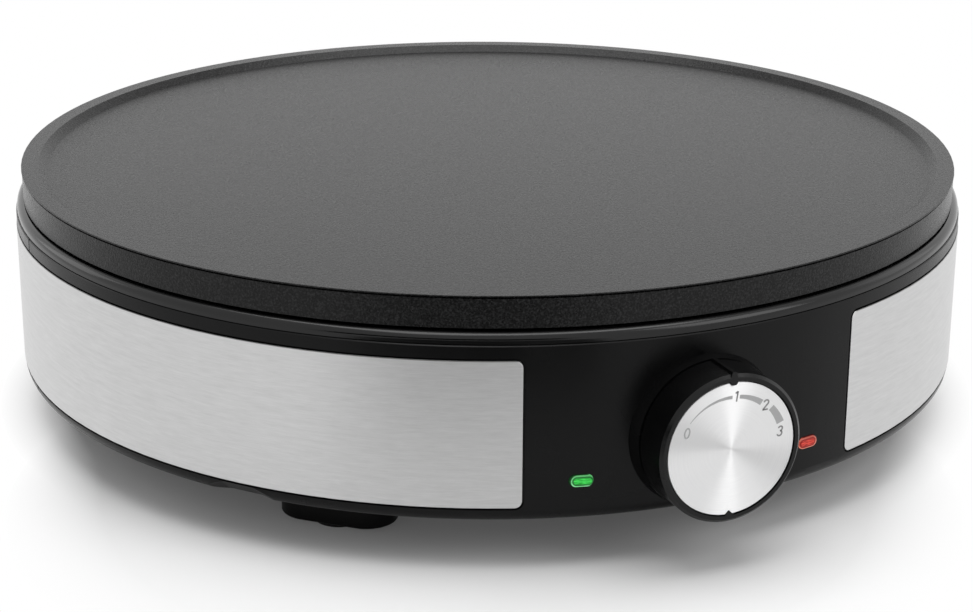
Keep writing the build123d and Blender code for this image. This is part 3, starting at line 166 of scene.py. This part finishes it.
def around(tree, axis, centre=(0.0, 0.0, 0.0)):
    """Angle, distance, height and place about an axis through a centre.

    The angle jumps at -Y about the axis Z, and at -Z about the axis Y.
    """
    where, x, y, z = from_centre(tree, centre)
    side, height = (y, z) if axis == "Z" else (z, y)
    return calc(tree, "ARCTAN2", x, side), distance(tree, x, side), height, where


def joined(tree, *parts):
    """A vector from (value, factor) pairs."""
    vector = add(tree, "ShaderNodeCombineXYZ")
    for (value, factor), socket in zip(parts, vector.inputs):
        tree.links.new(calc(tree, "MULTIPLY", value, factor), socket)
    return vector.outputs[0]


def turned_to_world(tree, vector):
    """A direction on the object, as the shader wants it."""
    node = add(
        tree,
        "ShaderNodeVectorTransform",
        vector_type="VECTOR",
        convert_from="OBJECT",
        convert_to="WORLD",
    )
    tree.links.new(vector, node.inputs[0])
    return node.outputs[0]


# ---------------------------------------------------------------- finishes
cloud_scale = 45.0  # slow changes over moulded plastic
mould_bump = 0.0002
mould_gloss_fall, mould_gloss_rise = 0.04, 0.05
metal_bump = 0.0001
metal_gloss_fall, metal_gloss_rise = 0.07, 0.1
scratch_bump = 0.00004
peel_bump = 0.0003
lens_bump = 0.0002
ink_bump = 0.00005
painted_shade_start, painted_shade_end = 0.00035, 0.0001  # below the strip's top, where painted shade darkens the steel
lens_straight = 0.00175  # half of the straight run between a lens's round ends
lens_half_width = 0.00185
# Where the lens's core turns into the deep ring, that into the rim, and the rim into the
# dark edge, as shares of the half width.
lens_zones = ((0.42, 0.62), (0.70, 0.84), (0.92, 1.0))


def moulded(name, colour, roughness, specular=0.5, grain=2600.0, depth=0.25, tone=0.15):
    """Moulded plastic: fine spark-eroded grain, slow changes of gloss and tone."""
    material, tree, shader = blank(name, colour, roughness, specular=specular)
    where = place(tree)
    fine = noise(tree, where, grain, detail=3.0, rough=0.6)
    slow = noise(tree, where, cloud_scale)
    shade = tint(tree, slow, times(colour, 1 - tone), times(colour, 1 + tone))
    gloss = spread(tree, slow, roughness - mould_gloss_fall, roughness + mould_gloss_rise)
    tree.links.new(shade, shader.inputs["Base Color"])
    tree.links.new(gloss, shader.inputs["Roughness"])
    emboss(tree, shader, fine, strength=depth, distance=mould_bump)
    return material


def bare_metal(name, colour, roughness, scale=900.0, wear=0.12):
    """Rolled, plated or turned metal: clouded gloss and fine marks."""
    material, tree, shader = blank(name, colour, roughness, metallic=1.0)
    cloud = noise(tree, place(tree), scale, detail=3.0)
    gloss = spread(tree, cloud, roughness - metal_gloss_fall, roughness + metal_gloss_rise)
    tree.links.new(
        tint(tree, cloud, times(colour, 1 - wear), colour), shader.inputs["Base Color"]
    )
    tree.links.new(gloss, shader.inputs["Roughness"])
    emboss(tree, shader, cloud, strength=0.1, distance=metal_bump)
    return material


def brushed_band(name):
    """Stainless strip brushed lengthwise: scratches round the body, shine spread upright.

    The angle's jump falls in the strip's gap, at the front panel. Near its top edge the
    steel is darkened: painted shade under the black strip.
    """
    material, tree, shader = blank(name, even(0.575), roughness=0.36, metallic=1.0)
    shader.inputs["Anisotropic"].default_value = 0.75
    angle, _, height, _ = around(tree, "Z")
    fine = joined(tree, (angle, 34.0), (height, 3400.0))
    coarse = joined(tree, (angle, 14.0), (height, 900.0))
    scratch = noise(tree, fine, 1.0, detail=4.0, rough=0.65)
    strand = noise(tree, coarse, 1.0, detail=3.0, rough=0.6)
    streaks = rising(tree, calc(tree, "ADD", scratch, strand), 0.7, 1.3)
    sheet = tint(tree, streaks, even(0.53), even(0.62))
    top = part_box("steel_band")[1].z
    # Painted shade: the steel turns dark grey towards its top edge, as if shaded by the strip
    # above.
    painted_shade_edge = rising(tree, height, top - painted_shade_start, top - painted_shade_end)
    tree.links.new(tint(tree, painted_shade_edge, sheet, even(0.12)), shader.inputs["Base Color"])
    tree.links.new(spread(tree, scratch, 0.33, 0.40), shader.inputs["Roughness"])
    emboss(tree, shader, scratch, strength=0.12, distance=scratch_bump)
    upright = add(tree, "ShaderNodeCombineXYZ", Z=1.0)
    tree.links.new(turned_to_world(tree, upright.outputs[0]), shader.inputs["Tangent"])
    return material


def nonstick(name):
    """Dark sprayed non-stick coating: orange peel and tiny pale flecks."""
    material, tree, shader = blank(name, even(0.003), roughness=0.28, specular=0.20)
    where = place(tree)
    peel = noise(tree, where, 1500.0, rough=0.55)
    fleck = rising(tree, noise(tree, where, 1700.0, detail=1.0), 0.45, 0.72)
    tree.links.new(
        tint(tree, fleck, even(0.0012), (0.022, 0.022, 0.0225)), shader.inputs["Base Color"]
    )
    tree.links.new(spread(tree, peel, 0.24, 0.32), shader.inputs["Roughness"])
    emboss(tree, shader, peel, strength=0.4, distance=peel_bump)
    return material


def spun_dial(name, centre):
    """Spun aluminium: turned grooves round the disc's centre, shine spread outwards."""
    material, tree, shader = blank(name, even(0.86), roughness=0.45, metallic=1.0)
    shader.inputs["Anisotropic"].default_value = 0.95
    angle, far, _, outwards = around(tree, "Y", centre)
    groove = noise(tree, joined(tree, (far, 5200.0), (angle, 0.8)), 1.0)
    shade = tint(tree, rising(tree, groove), (0.84, 0.84, 0.845), even(0.89))
    tree.links.new(shade, shader.inputs["Base Color"])
    tree.links.new(spread(tree, groove, 0.42, 0.48), shader.inputs["Roughness"])
    tree.links.new(turned_to_world(tree, outwards), shader.inputs["Tangent"])
    return material


def lamp_bulb(name, colour, glow):
    """Clear glass of a small neon lamp."""
    material, tree, shader = blank(name, colour, roughness=0.12)
    cloud = noise(tree, place(tree), 700.0)
    light = tint(tree, rising(tree, cloud), times(glow, 0.35), glow)
    tree.links.new(light, shader.inputs["Emission Color"])
    shader.inputs["Emission Strength"].default_value = 0.2
    emboss(tree, shader, cloud, strength=0.05, distance=lens_bump)
    return material


def clear_lens(node, body_colour, deep, core, rim):
    """Coloured clear lens, the light of the lit lamp behind it painted on as glow.

    The painted glow goes by the distance from the line between the slot's two round ends: a
    bright core, a deep ring around it and a pale rim, a painted highlight that is brighter
    towards the lower edge and where the streaks glint.
    """
    low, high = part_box(node)
    middle = (low + high) / 2
    face = Vector((middle.x, low.y, 0.0)).normalized()
    material, tree, shader = blank(node, body_colour, roughness=0.10, specular=0.25)
    where, _, _, height = from_centre(tree, middle)
    along = add(tree, "ShaderNodeVectorMath", operation="DOT_PRODUCT")
    tree.links.new(where, along.inputs[0])
    along.inputs[1].default_value = (-face.y, face.x, 0.0)
    sideways = along.outputs["Value"]
    past = calc(tree, "SUBTRACT", calc(tree, "ABSOLUTE", sideways), lens_straight)
    far = distance(tree, calc(tree, "MAXIMUM", past, 0.0), height)
    share = calc(tree, "DIVIDE", far, lens_half_width)

    lengthwise = joined(tree, (sideways, 420.0), (height, 2600.0))
    streak = noise(tree, lengthwise, 1.0, detail=3.0)
    core_light = tuple(0.88 * c + 0.12 * r for c, r in zip(core, rim))
    look = tint(tree, rising(tree, streak, 0.40, 0.60), times(core, 0.38), core_light)
    # Painted highlight on the rim: lighter towards the lower edge and where the streaks glint.
    lower = spread(tree, height, 1.0, 0.35, -lens_half_width, lens_half_width)
    glint = spread(tree, streak, 0.45, 1.0, 0.35, 0.6)
    rim_look = tint(tree, calc(tree, "MULTIPLY", lower, glint), times(core, 0.35), rim)
    for (start, end), next_look in zip(lens_zones, (deep, rim_look, times(deep, 0.3))):
        look = tint(tree, rising(tree, share, start, end), look, next_look)
    tree.links.new(look, shader.inputs["Emission Color"])
    shader.inputs["Emission Strength"].default_value = 1.0
    emboss(tree, shader, streak, strength=0.08, distance=lens_bump)
    return material


def dial_ink(name, tone):
    """Grey ink printed on the dial, slightly uneven."""
    material, tree, shader = blank(name, even(tone), roughness=0.55)
    spots = noise(tree, place(tree), 5200.0)
    shade = tint(tree, spots, times((0.9, 0.9, 0.91), tone), times((1.1, 1.1, 1.11), tone))
    tree.links.new(shade, shader.inputs["Base Color"])
    emboss(tree, shader, spots, strength=0.2, distance=ink_bump)
    return material


# Colour, roughness, specular level, grain, depth of grain, change of tone.
plastics = {
    "housing_plastic": ((0.0022, 0.0022, 0.0023), 0.25, 0.15, 2600.0, 0.12),
    "ring_plastic": ((0.0020, 0.0020, 0.0021), 0.14, 0.36, 2600.0, 0.06),
    "knob_plastic": ((0.0020, 0.0020, 0.0021), 0.24, 0.25, 3200.0, 0.10),
    "pan_plastic": ((0.016, 0.016, 0.017), 0.5, 0.4, 1500.0, 0.5),
    "foot_plastic": ((0.0025, 0.0025, 0.0025), 0.38, 0.12),
    "pad_rubber": ((0.004, 0.004, 0.004), 0.75, 0.25, 1300.0, 0.6),
    "gland_plastic": ((0.014, 0.014, 0.0145), 0.4, 0.4),
    "thermostat_ceramic": ((0.72, 0.69, 0.61), 0.7, 0.4, 1800.0, 0.4, 0.06),
    "seal_ceramic": ((0.80, 0.78, 0.73), 0.65, 0.4, 1800.0, 0.4, 0.05),
    "fuse_braid": ((0.72, 0.71, 0.66), 0.8, 0.3, 2400.0, 0.9, 0.1),
    "holder_plastic": ((0.56, 0.54, 0.49), 0.5, 0.5, 1500.0, 0.2, 0.06),
    "block_plastic": ((0.66, 0.64, 0.57), 0.5, 0.5, 1500.0, 0.2, 0.06),
    "terminal_nylon": ((0.68, 0.66, 0.6), 0.45, 0.5, 1500.0, 0.2, 0.05),
    "wire_brown": ((0.13, 0.055, 0.03), 0.5, 0.5, 1500.0, 0.2, 0.1),
    "wire_white": ((0.70, 0.69, 0.65), 0.5, 0.5, 1500.0, 0.2, 0.06),
    "wire_blue": ((0.035, 0.12, 0.36), 0.5, 0.5, 1500.0, 0.2, 0.1),
    "wire_green": ((0.16, 0.36, 0.045), 0.5, 0.5, 1500.0, 0.2, 0.1),
}
# Colour, roughness, scale of the clouds, wear.
metals = {
    "shield_sheet": ((0.66, 0.66, 0.67), 0.4),
    "plated_steel": ((0.58, 0.58, 0.56), 0.34),
    "screw_steel": ((0.46, 0.46, 0.47), 0.38),
    "spring_steel": ((0.30, 0.31, 0.34), 0.3),
    "thermostat_brass": ((0.70, 0.52, 0.25), 0.3),
    "bimetal": ((0.52, 0.44, 0.34), 0.35),
    "element_sheath": ((0.20, 0.18, 0.165), 0.5, 400.0, 0.4),
    "fuse_case": ((0.62, 0.58, 0.5), 0.35),
}
# The lens's own colour, then its glow: deep ring, core and rim.
lenses = {
    "green_lens": (
        (0.001, 0.012, 0.003),
        (0.001, 0.10, 0.012),
        (0.02, 0.76, 0.06),
        (0.34, 0.95, 0.45),
    ),
    "red_lens": (
        (0.02, 0.001, 0.001),
        (0.22, 0.005, 0.003),
        (0.74, 0.03, 0.014),
        (0.95, 0.34, 0.24),
    ),
}
finishes = {
    "nonstick_coating": nonstick("nonstick_coating"),
    "band_steel": brushed_band("band_steel"),
    "dial_aluminium": spun_dial("dial_aluminium", dial_middle),
    "lamp_glass": lamp_bulb("lamp_glass", (0.6, 0.5, 0.42), (0.9, 0.4, 0.2)),
}
for make, table in ((moulded, plastics), (bare_metal, metals), (clear_lens, lenses)):
    finishes.update({name: make(name, *values) for name, values in table.items()})

slot_of = {entry["node"]: entry["material_slot"] for entry in frame["record"]["subparts"]}
for node, piece in nodes.items():
    piece.data.materials.clear()
    piece.data.materials.append(finishes[slot_of[node]])


def linked(name, data):
    """An object for a mesh, lamp or camera, put into the scene."""
    thing = bpy.data.objects.new(name, data)
    scene.collection.objects.link(thing)
    return thing


# ---------------------------------------------------------------- the top ring's skin
ring_turns = 540
bead_stations = 25  # over the rounding
sharp_angle = 35  # degrees between faces, past which an edge stays sharp
skin_rise = 0.00002  # skin outside the ring's face
skin_depth = 0.00012
bead_rounding = 0.0024
bead_chamfer = 0.0003
bead_height = 0.0036
bead_flat = 0.0016  # level part of the ring's top that the skin covers
bead_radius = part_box("top_ring")[1].x
bead_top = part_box("top_ring")[1].z


def revolved(name, profile, turns, body, finish):
    """A closed ring: the closed profile (r, z) turned round the body's axis.

    Point (i, j) is (r_j sin a_i, -r_j cos a_i, z_j) with a_i = 2 pi i / turns. The profile
    runs so that the faces look outwards.
    """
    count = len(profile)
    angle = np.arange(turns) * 2 * np.pi / turns
    points = np.empty((turns, count, 3))
    points[..., 0] = np.sin(angle)[:, None] * profile[:, 0]
    points[..., 1] = -np.cos(angle)[:, None] * profile[:, 0]
    points[..., 2] = profile[:, 1]
    i, j = np.meshgrid(np.arange(turns), np.arange(count), indexing="ij")
    i_next, j_next = (i + 1) % turns, (j + 1) % count
    faces = np.stack(
        [i * count + j, i_next * count + j, i_next * count + j_next, i * count + j_next], -1
    )
    mesh = bpy.data.meshes.new(name)
    mesh.from_pydata(points.reshape(-1, 3).tolist(), [], faces.reshape(-1, 4).tolist())
    mesh.shade_smooth()
    mesh.set_sharp_from_angle(angle=np.radians(sharp_angle))
    mesh.materials.append(finish)
    piece = linked(name, mesh)
    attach(piece, body)


# The skin's outer face, from the level top over the rounding (centre r, z less the rounding,
# radius rounding + rise) down to the chamfer. Its back is the same line set in by the depth.
bead_turn = np.radians(np.linspace(90, 0, bead_stations))
bead_curve = np.stack([np.cos(bead_turn), np.sin(bead_turn)], 1)
bead_centre = np.array([bead_radius - bead_rounding, bead_top - bead_rounding])
bead_face = np.concatenate(
    [
        [(bead_centre[0] - bead_flat, bead_top + skin_rise)],
        bead_centre + (bead_rounding + skin_rise) * bead_curve,
        [(bead_radius + skin_rise, bead_top - bead_height + bead_chamfer)],
        [(bead_radius + skin_rise - bead_chamfer, bead_top - bead_height + skin_rise)],
    ]
)
bead_back = bead_face[::-1] - skin_depth
bead_back[-1, 0] = bead_face[0, 0]
revolved(
    "ring_bead",
    np.concatenate([bead_face, bead_back])[::-1],
    ring_turns,
    "base_body",
    finishes["ring_plastic"],
)

# ---------------------------------------------------------------- the dial's print
print_radius = 0.0161  # middle of the numerals from the dial's centre
print_rise = 0.00003  # front of the ink before the disc
print_root = 0.00002  # back of the ink inside the disc
numeral_height = 0.0033
numeral_stroke = 0.00048
numeral_slant = 0.14
numeral_reach = 0.435  # from a numeral's middle to its top and foot strokes, in heights
scale_stations = 40


def oval(half_width, half_height, middle, start, end, count, whole=False):
    """Points (half_width sin a, middle + half_height cos a), a in degrees from the top."""
    turn = np.radians(np.linspace(start, end, count, endpoint=not whole))
    return np.stack([half_width * np.sin(turn), middle + half_height * np.cos(turn)], 1)


def ribbon(path, widths, loop=False):
    """A flat printed line on the dial's face: its corners and its faces.

    path(t) runs in the dial's plane (x to the right, z up, from the dial's centre). Left and
    right edges are path(t) +- n(t) * w(t) / 2, where n is the path's normal. Each station is
    the rectangle between the two edges, from print_root inside to print_rise in front.
    """
    count = len(path)
    if loop:
        step = np.roll(path, -1, 0) - np.roll(path, 1, 0)
    else:
        step = np.gradient(path, axis=0)
    step /= np.linalg.norm(step, axis=1)[:, None]
    half = np.broadcast_to(widths, count)[:, None] / 2
    across = np.stack([-step[:, 1], step[:, 0]], 1) * half
    edge = np.array([1, 1, -1, -1])[:, None]
    depth = np.array([print_root, -print_rise, -print_rise, print_root])
    flat = path[:, None] + edge * across[:, None]
    corners = np.empty((count, 4, 3))
    corners[..., 0] = dial_middle[0] + flat[..., 0]
    corners[..., 1] = dial_front + depth
    corners[..., 2] = dial_middle[2] + flat[..., 1]

    corner = np.arange(4)
    beside = (corner + 1) % 4
    here = np.arange(count if loop else count - 1)[:, None]
    after = (here + 1) % count
    faces = np.stack(
        [4 * here + corner, 4 * here + beside, 4 * after + beside, 4 * after + corner], -1
    ).reshape(-1, 4)
    if not loop:
        faces = np.concatenate([faces, [corner[::-1], 4 * (count - 1) + corner]])
    return corners.reshape(-1, 3), faces


def numeral_paths(digit):
    """Strokes of a numeral one unit high and about 0.6 wide, centred on the origin.

    0 is an oval; 1 a flag and a stem; 2 most of an oval, a straight tail from its end and a
    foot; 3 two open ovals, one on the other. Each stroke comes with whether it closes.
    """
    if digit == 0:
        return [(oval(0.235, numeral_reach, 0.0, 0, 360, 48, whole=True), True)]
    if digit == 1:
        flag = np.linspace((-0.17, 0.27), (0.05, numeral_reach), 6)
        stem = np.linspace((0.05, numeral_reach), (0.05, -0.5), 12)
        return [(flag, False), (stem, False)]
    if digit == 2:
        bow = oval(0.225, 0.22, 0.215, -80, 118, 30)
        tail = np.linspace(bow[-1], (-0.22, -0.42), 12)[1:]
        foot = np.linspace((-0.27, -numeral_reach), (0.26, -numeral_reach), 8)
        return [(np.concatenate([bow, tail]), False), (foot, False)]
    upper = oval(0.20, 0.21, 0.225, -75, 175, 26)
    lower = oval(0.225, 0.23, -0.205, 5, 255, 28)
    return [(upper, False), (lower, False)]


def printed_piece(name, parts, ink):
    """One closed mesh from ribbons, riding on the knob's body."""
    starts = np.cumsum([0] + [len(points) for points, _ in parts])
    faces = np.concatenate([start + quads for start, (_, quads) in zip(starts, parts)])
    mesh = bpy.data.meshes.new(name)
    mesh.from_pydata(
        np.concatenate([points for points, _ in parts]).tolist(), [], faces.tolist()
    )
    mesh.validate()
    mesh.materials.append(ink)
    piece = linked(name, mesh)
    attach(piece, "knob_body")


pale_ink = dial_ink("pale_ink", 0.40)
dark_ink = dial_ink("dark_ink", 0.24)
lean = np.array([[1.0, 0.0], [numeral_slant, 1.0]])
# Numeral and its place round the dial, in degrees from the top.
for digit, clock in ((0, -64.0), (1, 4.0), (2, 42.0), (3, 79.0)):
    middle = oval(print_radius, print_radius, 0.0, clock, clock, 1)
    strokes = [
        ribbon(middle + numeral_height * (path @ lean), numeral_stroke, loop)
        for path, loop in numeral_paths(digit)
    ]
    printed_piece(f"numeral_{digit}", strokes, dark_ink if digit else pale_ink)
# Name, then degrees, radii and widths at the two ends of the line.
for name, angles, radii, widths in (
    ("scale_low", (-54.0, -1.0), (0.0168, 0.0159), (0.00015, 0.00105)),
    ("scale_middle", (7.6, 35.9), (0.0159, 0.0159), (0.00110, 0.00180)),
    ("scale_high", (49.3, 69.9), (0.0166, 0.0168), (0.00200, 0.00240)),
):
    radius = np.linspace(*radii, scale_stations)
    line = oval(radius, radius, 0.0, *angles, scale_stations)
    printed_piece(name, [ribbon(line, np.linspace(*widths, scale_stations))], pale_ink)

# ---------------------------------------------------------------- camera
camera_side = -23.45  # degrees round the body's axis, from straight in front of the knob
turn = Matrix.Rotation(np.radians(camera_side), 3, "Z")
camera_data = bpy.data.cameras.new("camera")
camera_data.lens = 87.38  # millimetres
camera_data.sensor_width = 36.0
camera_data.sensor_fit = "HORIZONTAL"
camera_data.clip_start = 0.05
camera_data.clip_end = 50.0
camera = linked("camera", camera_data)
# The camera's own axes and its place, turned with it.
right = turn @ Vector((0.999988, 0.001780, 0.004505))
up = turn @ Vector((-0.004841, 0.332060, 0.943246))
back = turn @ Vector((0.000183, -0.943257, 0.332064))
camera.matrix_world = Matrix((right, up, back)).transposed().to_4x4()
camera.location = turn @ Vector((0.0, -0.78534, 0.30189))
scene.camera = camera


# ---------------------------------------------------------------- floor
floor_reach = 6.0  # half of the floor's side
white_start, white_end = 0.145, 0.170  # from the body's axis
ahead_start, ahead_end = 0.118, 0.150  # from a point in front of it
ahead_centre = turn @ Vector((0.0, -0.10, 0.0))
floor_glow = 0.05  # the least share of plain white


def seen_rays(tree):
    """1 for the rays that see the backdrop: from the camera, a reflection or glass."""
    path = add(tree, "ShaderNodeLightPath")
    direct = calc(tree, "MAXIMUM", path.outputs["Is Camera Ray"], path.outputs["Is Glossy Ray"])
    return calc(tree, "MAXIMUM", direct, path.outputs["Is Transmission Ray"])


def blended(tree, share, first, second):
    """Two shaders mixed by a share of the second."""
    mix = add(tree, "ShaderNodeMixShader")
    tree.links.new(share, mix.inputs[0])
    tree.links.new(first, mix.inputs[1])
    tree.links.new(second, mix.inputs[2])
    return mix.outputs[0]


def pale_floor(name):
    """Pale matte floor with the object's shadow: white further away, clear from below."""
    material, tree, shader = blank(name, even(0.82), roughness=0.9, specular=0.0)
    far = around(tree, "Z")[1]
    far_ahead = around(tree, "Z", ahead_centre)[1]
    ramp = calc(
        tree,
        "MULTIPLY",
        rising(tree, far, white_start, white_end),
        rising(tree, far_ahead, ahead_start, ahead_end),
    )
    share = calc(tree, "MULTIPLY", seen_rays(tree), calc(tree, "MAXIMUM", ramp, floor_glow))
    glow = add(tree, "ShaderNodeEmission", Color=(1.0, 1.0, 1.0, 1.0), Strength=1.0)
    clear = add(tree, "ShaderNodeBsdfTransparent")
    below = add(tree, "ShaderNodeNewGeometry").outputs["Backfacing"]
    above = blended(tree, share, shader.outputs[0], glow.outputs[0])
    look = blended(tree, below, above, clear.outputs[0])
    tree.links.new(look, tree.nodes["Material Output"].inputs["Surface"])
    return material


floor_mesh = bpy.data.meshes.new("floor")
floor_mesh.from_pydata(
    [(x * floor_reach, y * floor_reach, 0) for x, y in ((-1, -1), (1, -1), (1, 1), (-1, 1))],
    [],
    [(0, 1, 2, 3)],
)
floor_mesh.materials.append(pale_floor("pale_floor"))
floor = linked("floor", floor_mesh)

# ---------------------------------------------------------------- light
card_left, card_right, card_away = -1.05, 0.45, -1.5
card_foot, card_top = 0.02, 0.45
cloth_left, cloth_right = -0.14, 0.12
cloth_near, cloth_far = -0.60, -0.30
cloth_height = 0.002


def soft_light(name, place_at, aim, size, power):
    """A square soft light that faces a point."""
    data = bpy.data.lights.new(name, "AREA")
    data.shape = "SQUARE"
    data.size = size
    data.energy = power
    lamp = linked(name, data)
    lamp.location = place_at
    lamp.rotation_euler = (aim - place_at).to_track_quat("-Z", "Y").to_euler()


def dark_card(name, corners, cloth):
    """A sheet of dark cloth that only reflections show, for the dark side of the gloss."""
    mesh = bpy.data.meshes.new(name)
    mesh.from_pydata([tuple(turn @ Vector(corner)) for corner in corners], [], [(0, 1, 2, 3)])
    mesh.materials.append(cloth)
    card = linked(name, mesh)
    card.visible_camera = False
    card.visible_diffuse = False
    card.visible_shadow = False


# Name, place, height of the point it faces, side in metres, power in watts.
for name, place_at, aim_height, size, power in (
    ("top_light", (0.0, 0.0, 1.3), 0.05, 1.2, 14.0),
    ("front_light", (1.15, -0.65, 0.95), 0.04, 0.85, 5.0),
    ("left_light", (-1.15, 0.45, 0.5), 0.04, 0.6, 1.2),
    ("right_light", (1.15, 0.45, 0.5), 0.04, 0.6, 0.6),
):
    soft_light(name, turn @ Vector(place_at), Vector((0, 0, aim_height)), size, power)
dark_card(
    "standing_card",
    [
        (card_left, card_away, card_foot),
        (card_right, card_away, card_foot),
        (card_right, card_away, card_top),
        (card_left, card_away, card_top),
    ],
    moulded("black_cloth", (0.01, 0.01, 0.01), 0.9, 0.1),
)
dark_card(
    "lying_card",
    [
        (cloth_left, cloth_near, cloth_height),
        (cloth_right, cloth_near, cloth_height),
        (cloth_right, cloth_far, cloth_height),
        (cloth_left, cloth_far, cloth_height),
    ],
    moulded("grey_cloth", (0.08, 0.08, 0.08), 0.9, 0.1),
)

world = bpy.data.worlds.new("studio")
scene.world = world
world.use_nodes = True
sky = world.node_tree
sky.nodes.clear()
seen_sky = add(sky, "ShaderNodeBackground", Color=(1, 1, 1, 1), Strength=1.0)
fill_sky = add(sky, "ShaderNodeBackground", Color=(1, 1, 1, 1), Strength=0.45)
sky_look = blended(sky, seen_rays(sky), fill_sky.outputs[0], seen_sky.outputs[0])
sky.links.new(sky_look, add(sky, "ShaderNodeOutputWorld").inputs["Surface"])

scene.view_settings.view_transform = "Standard"
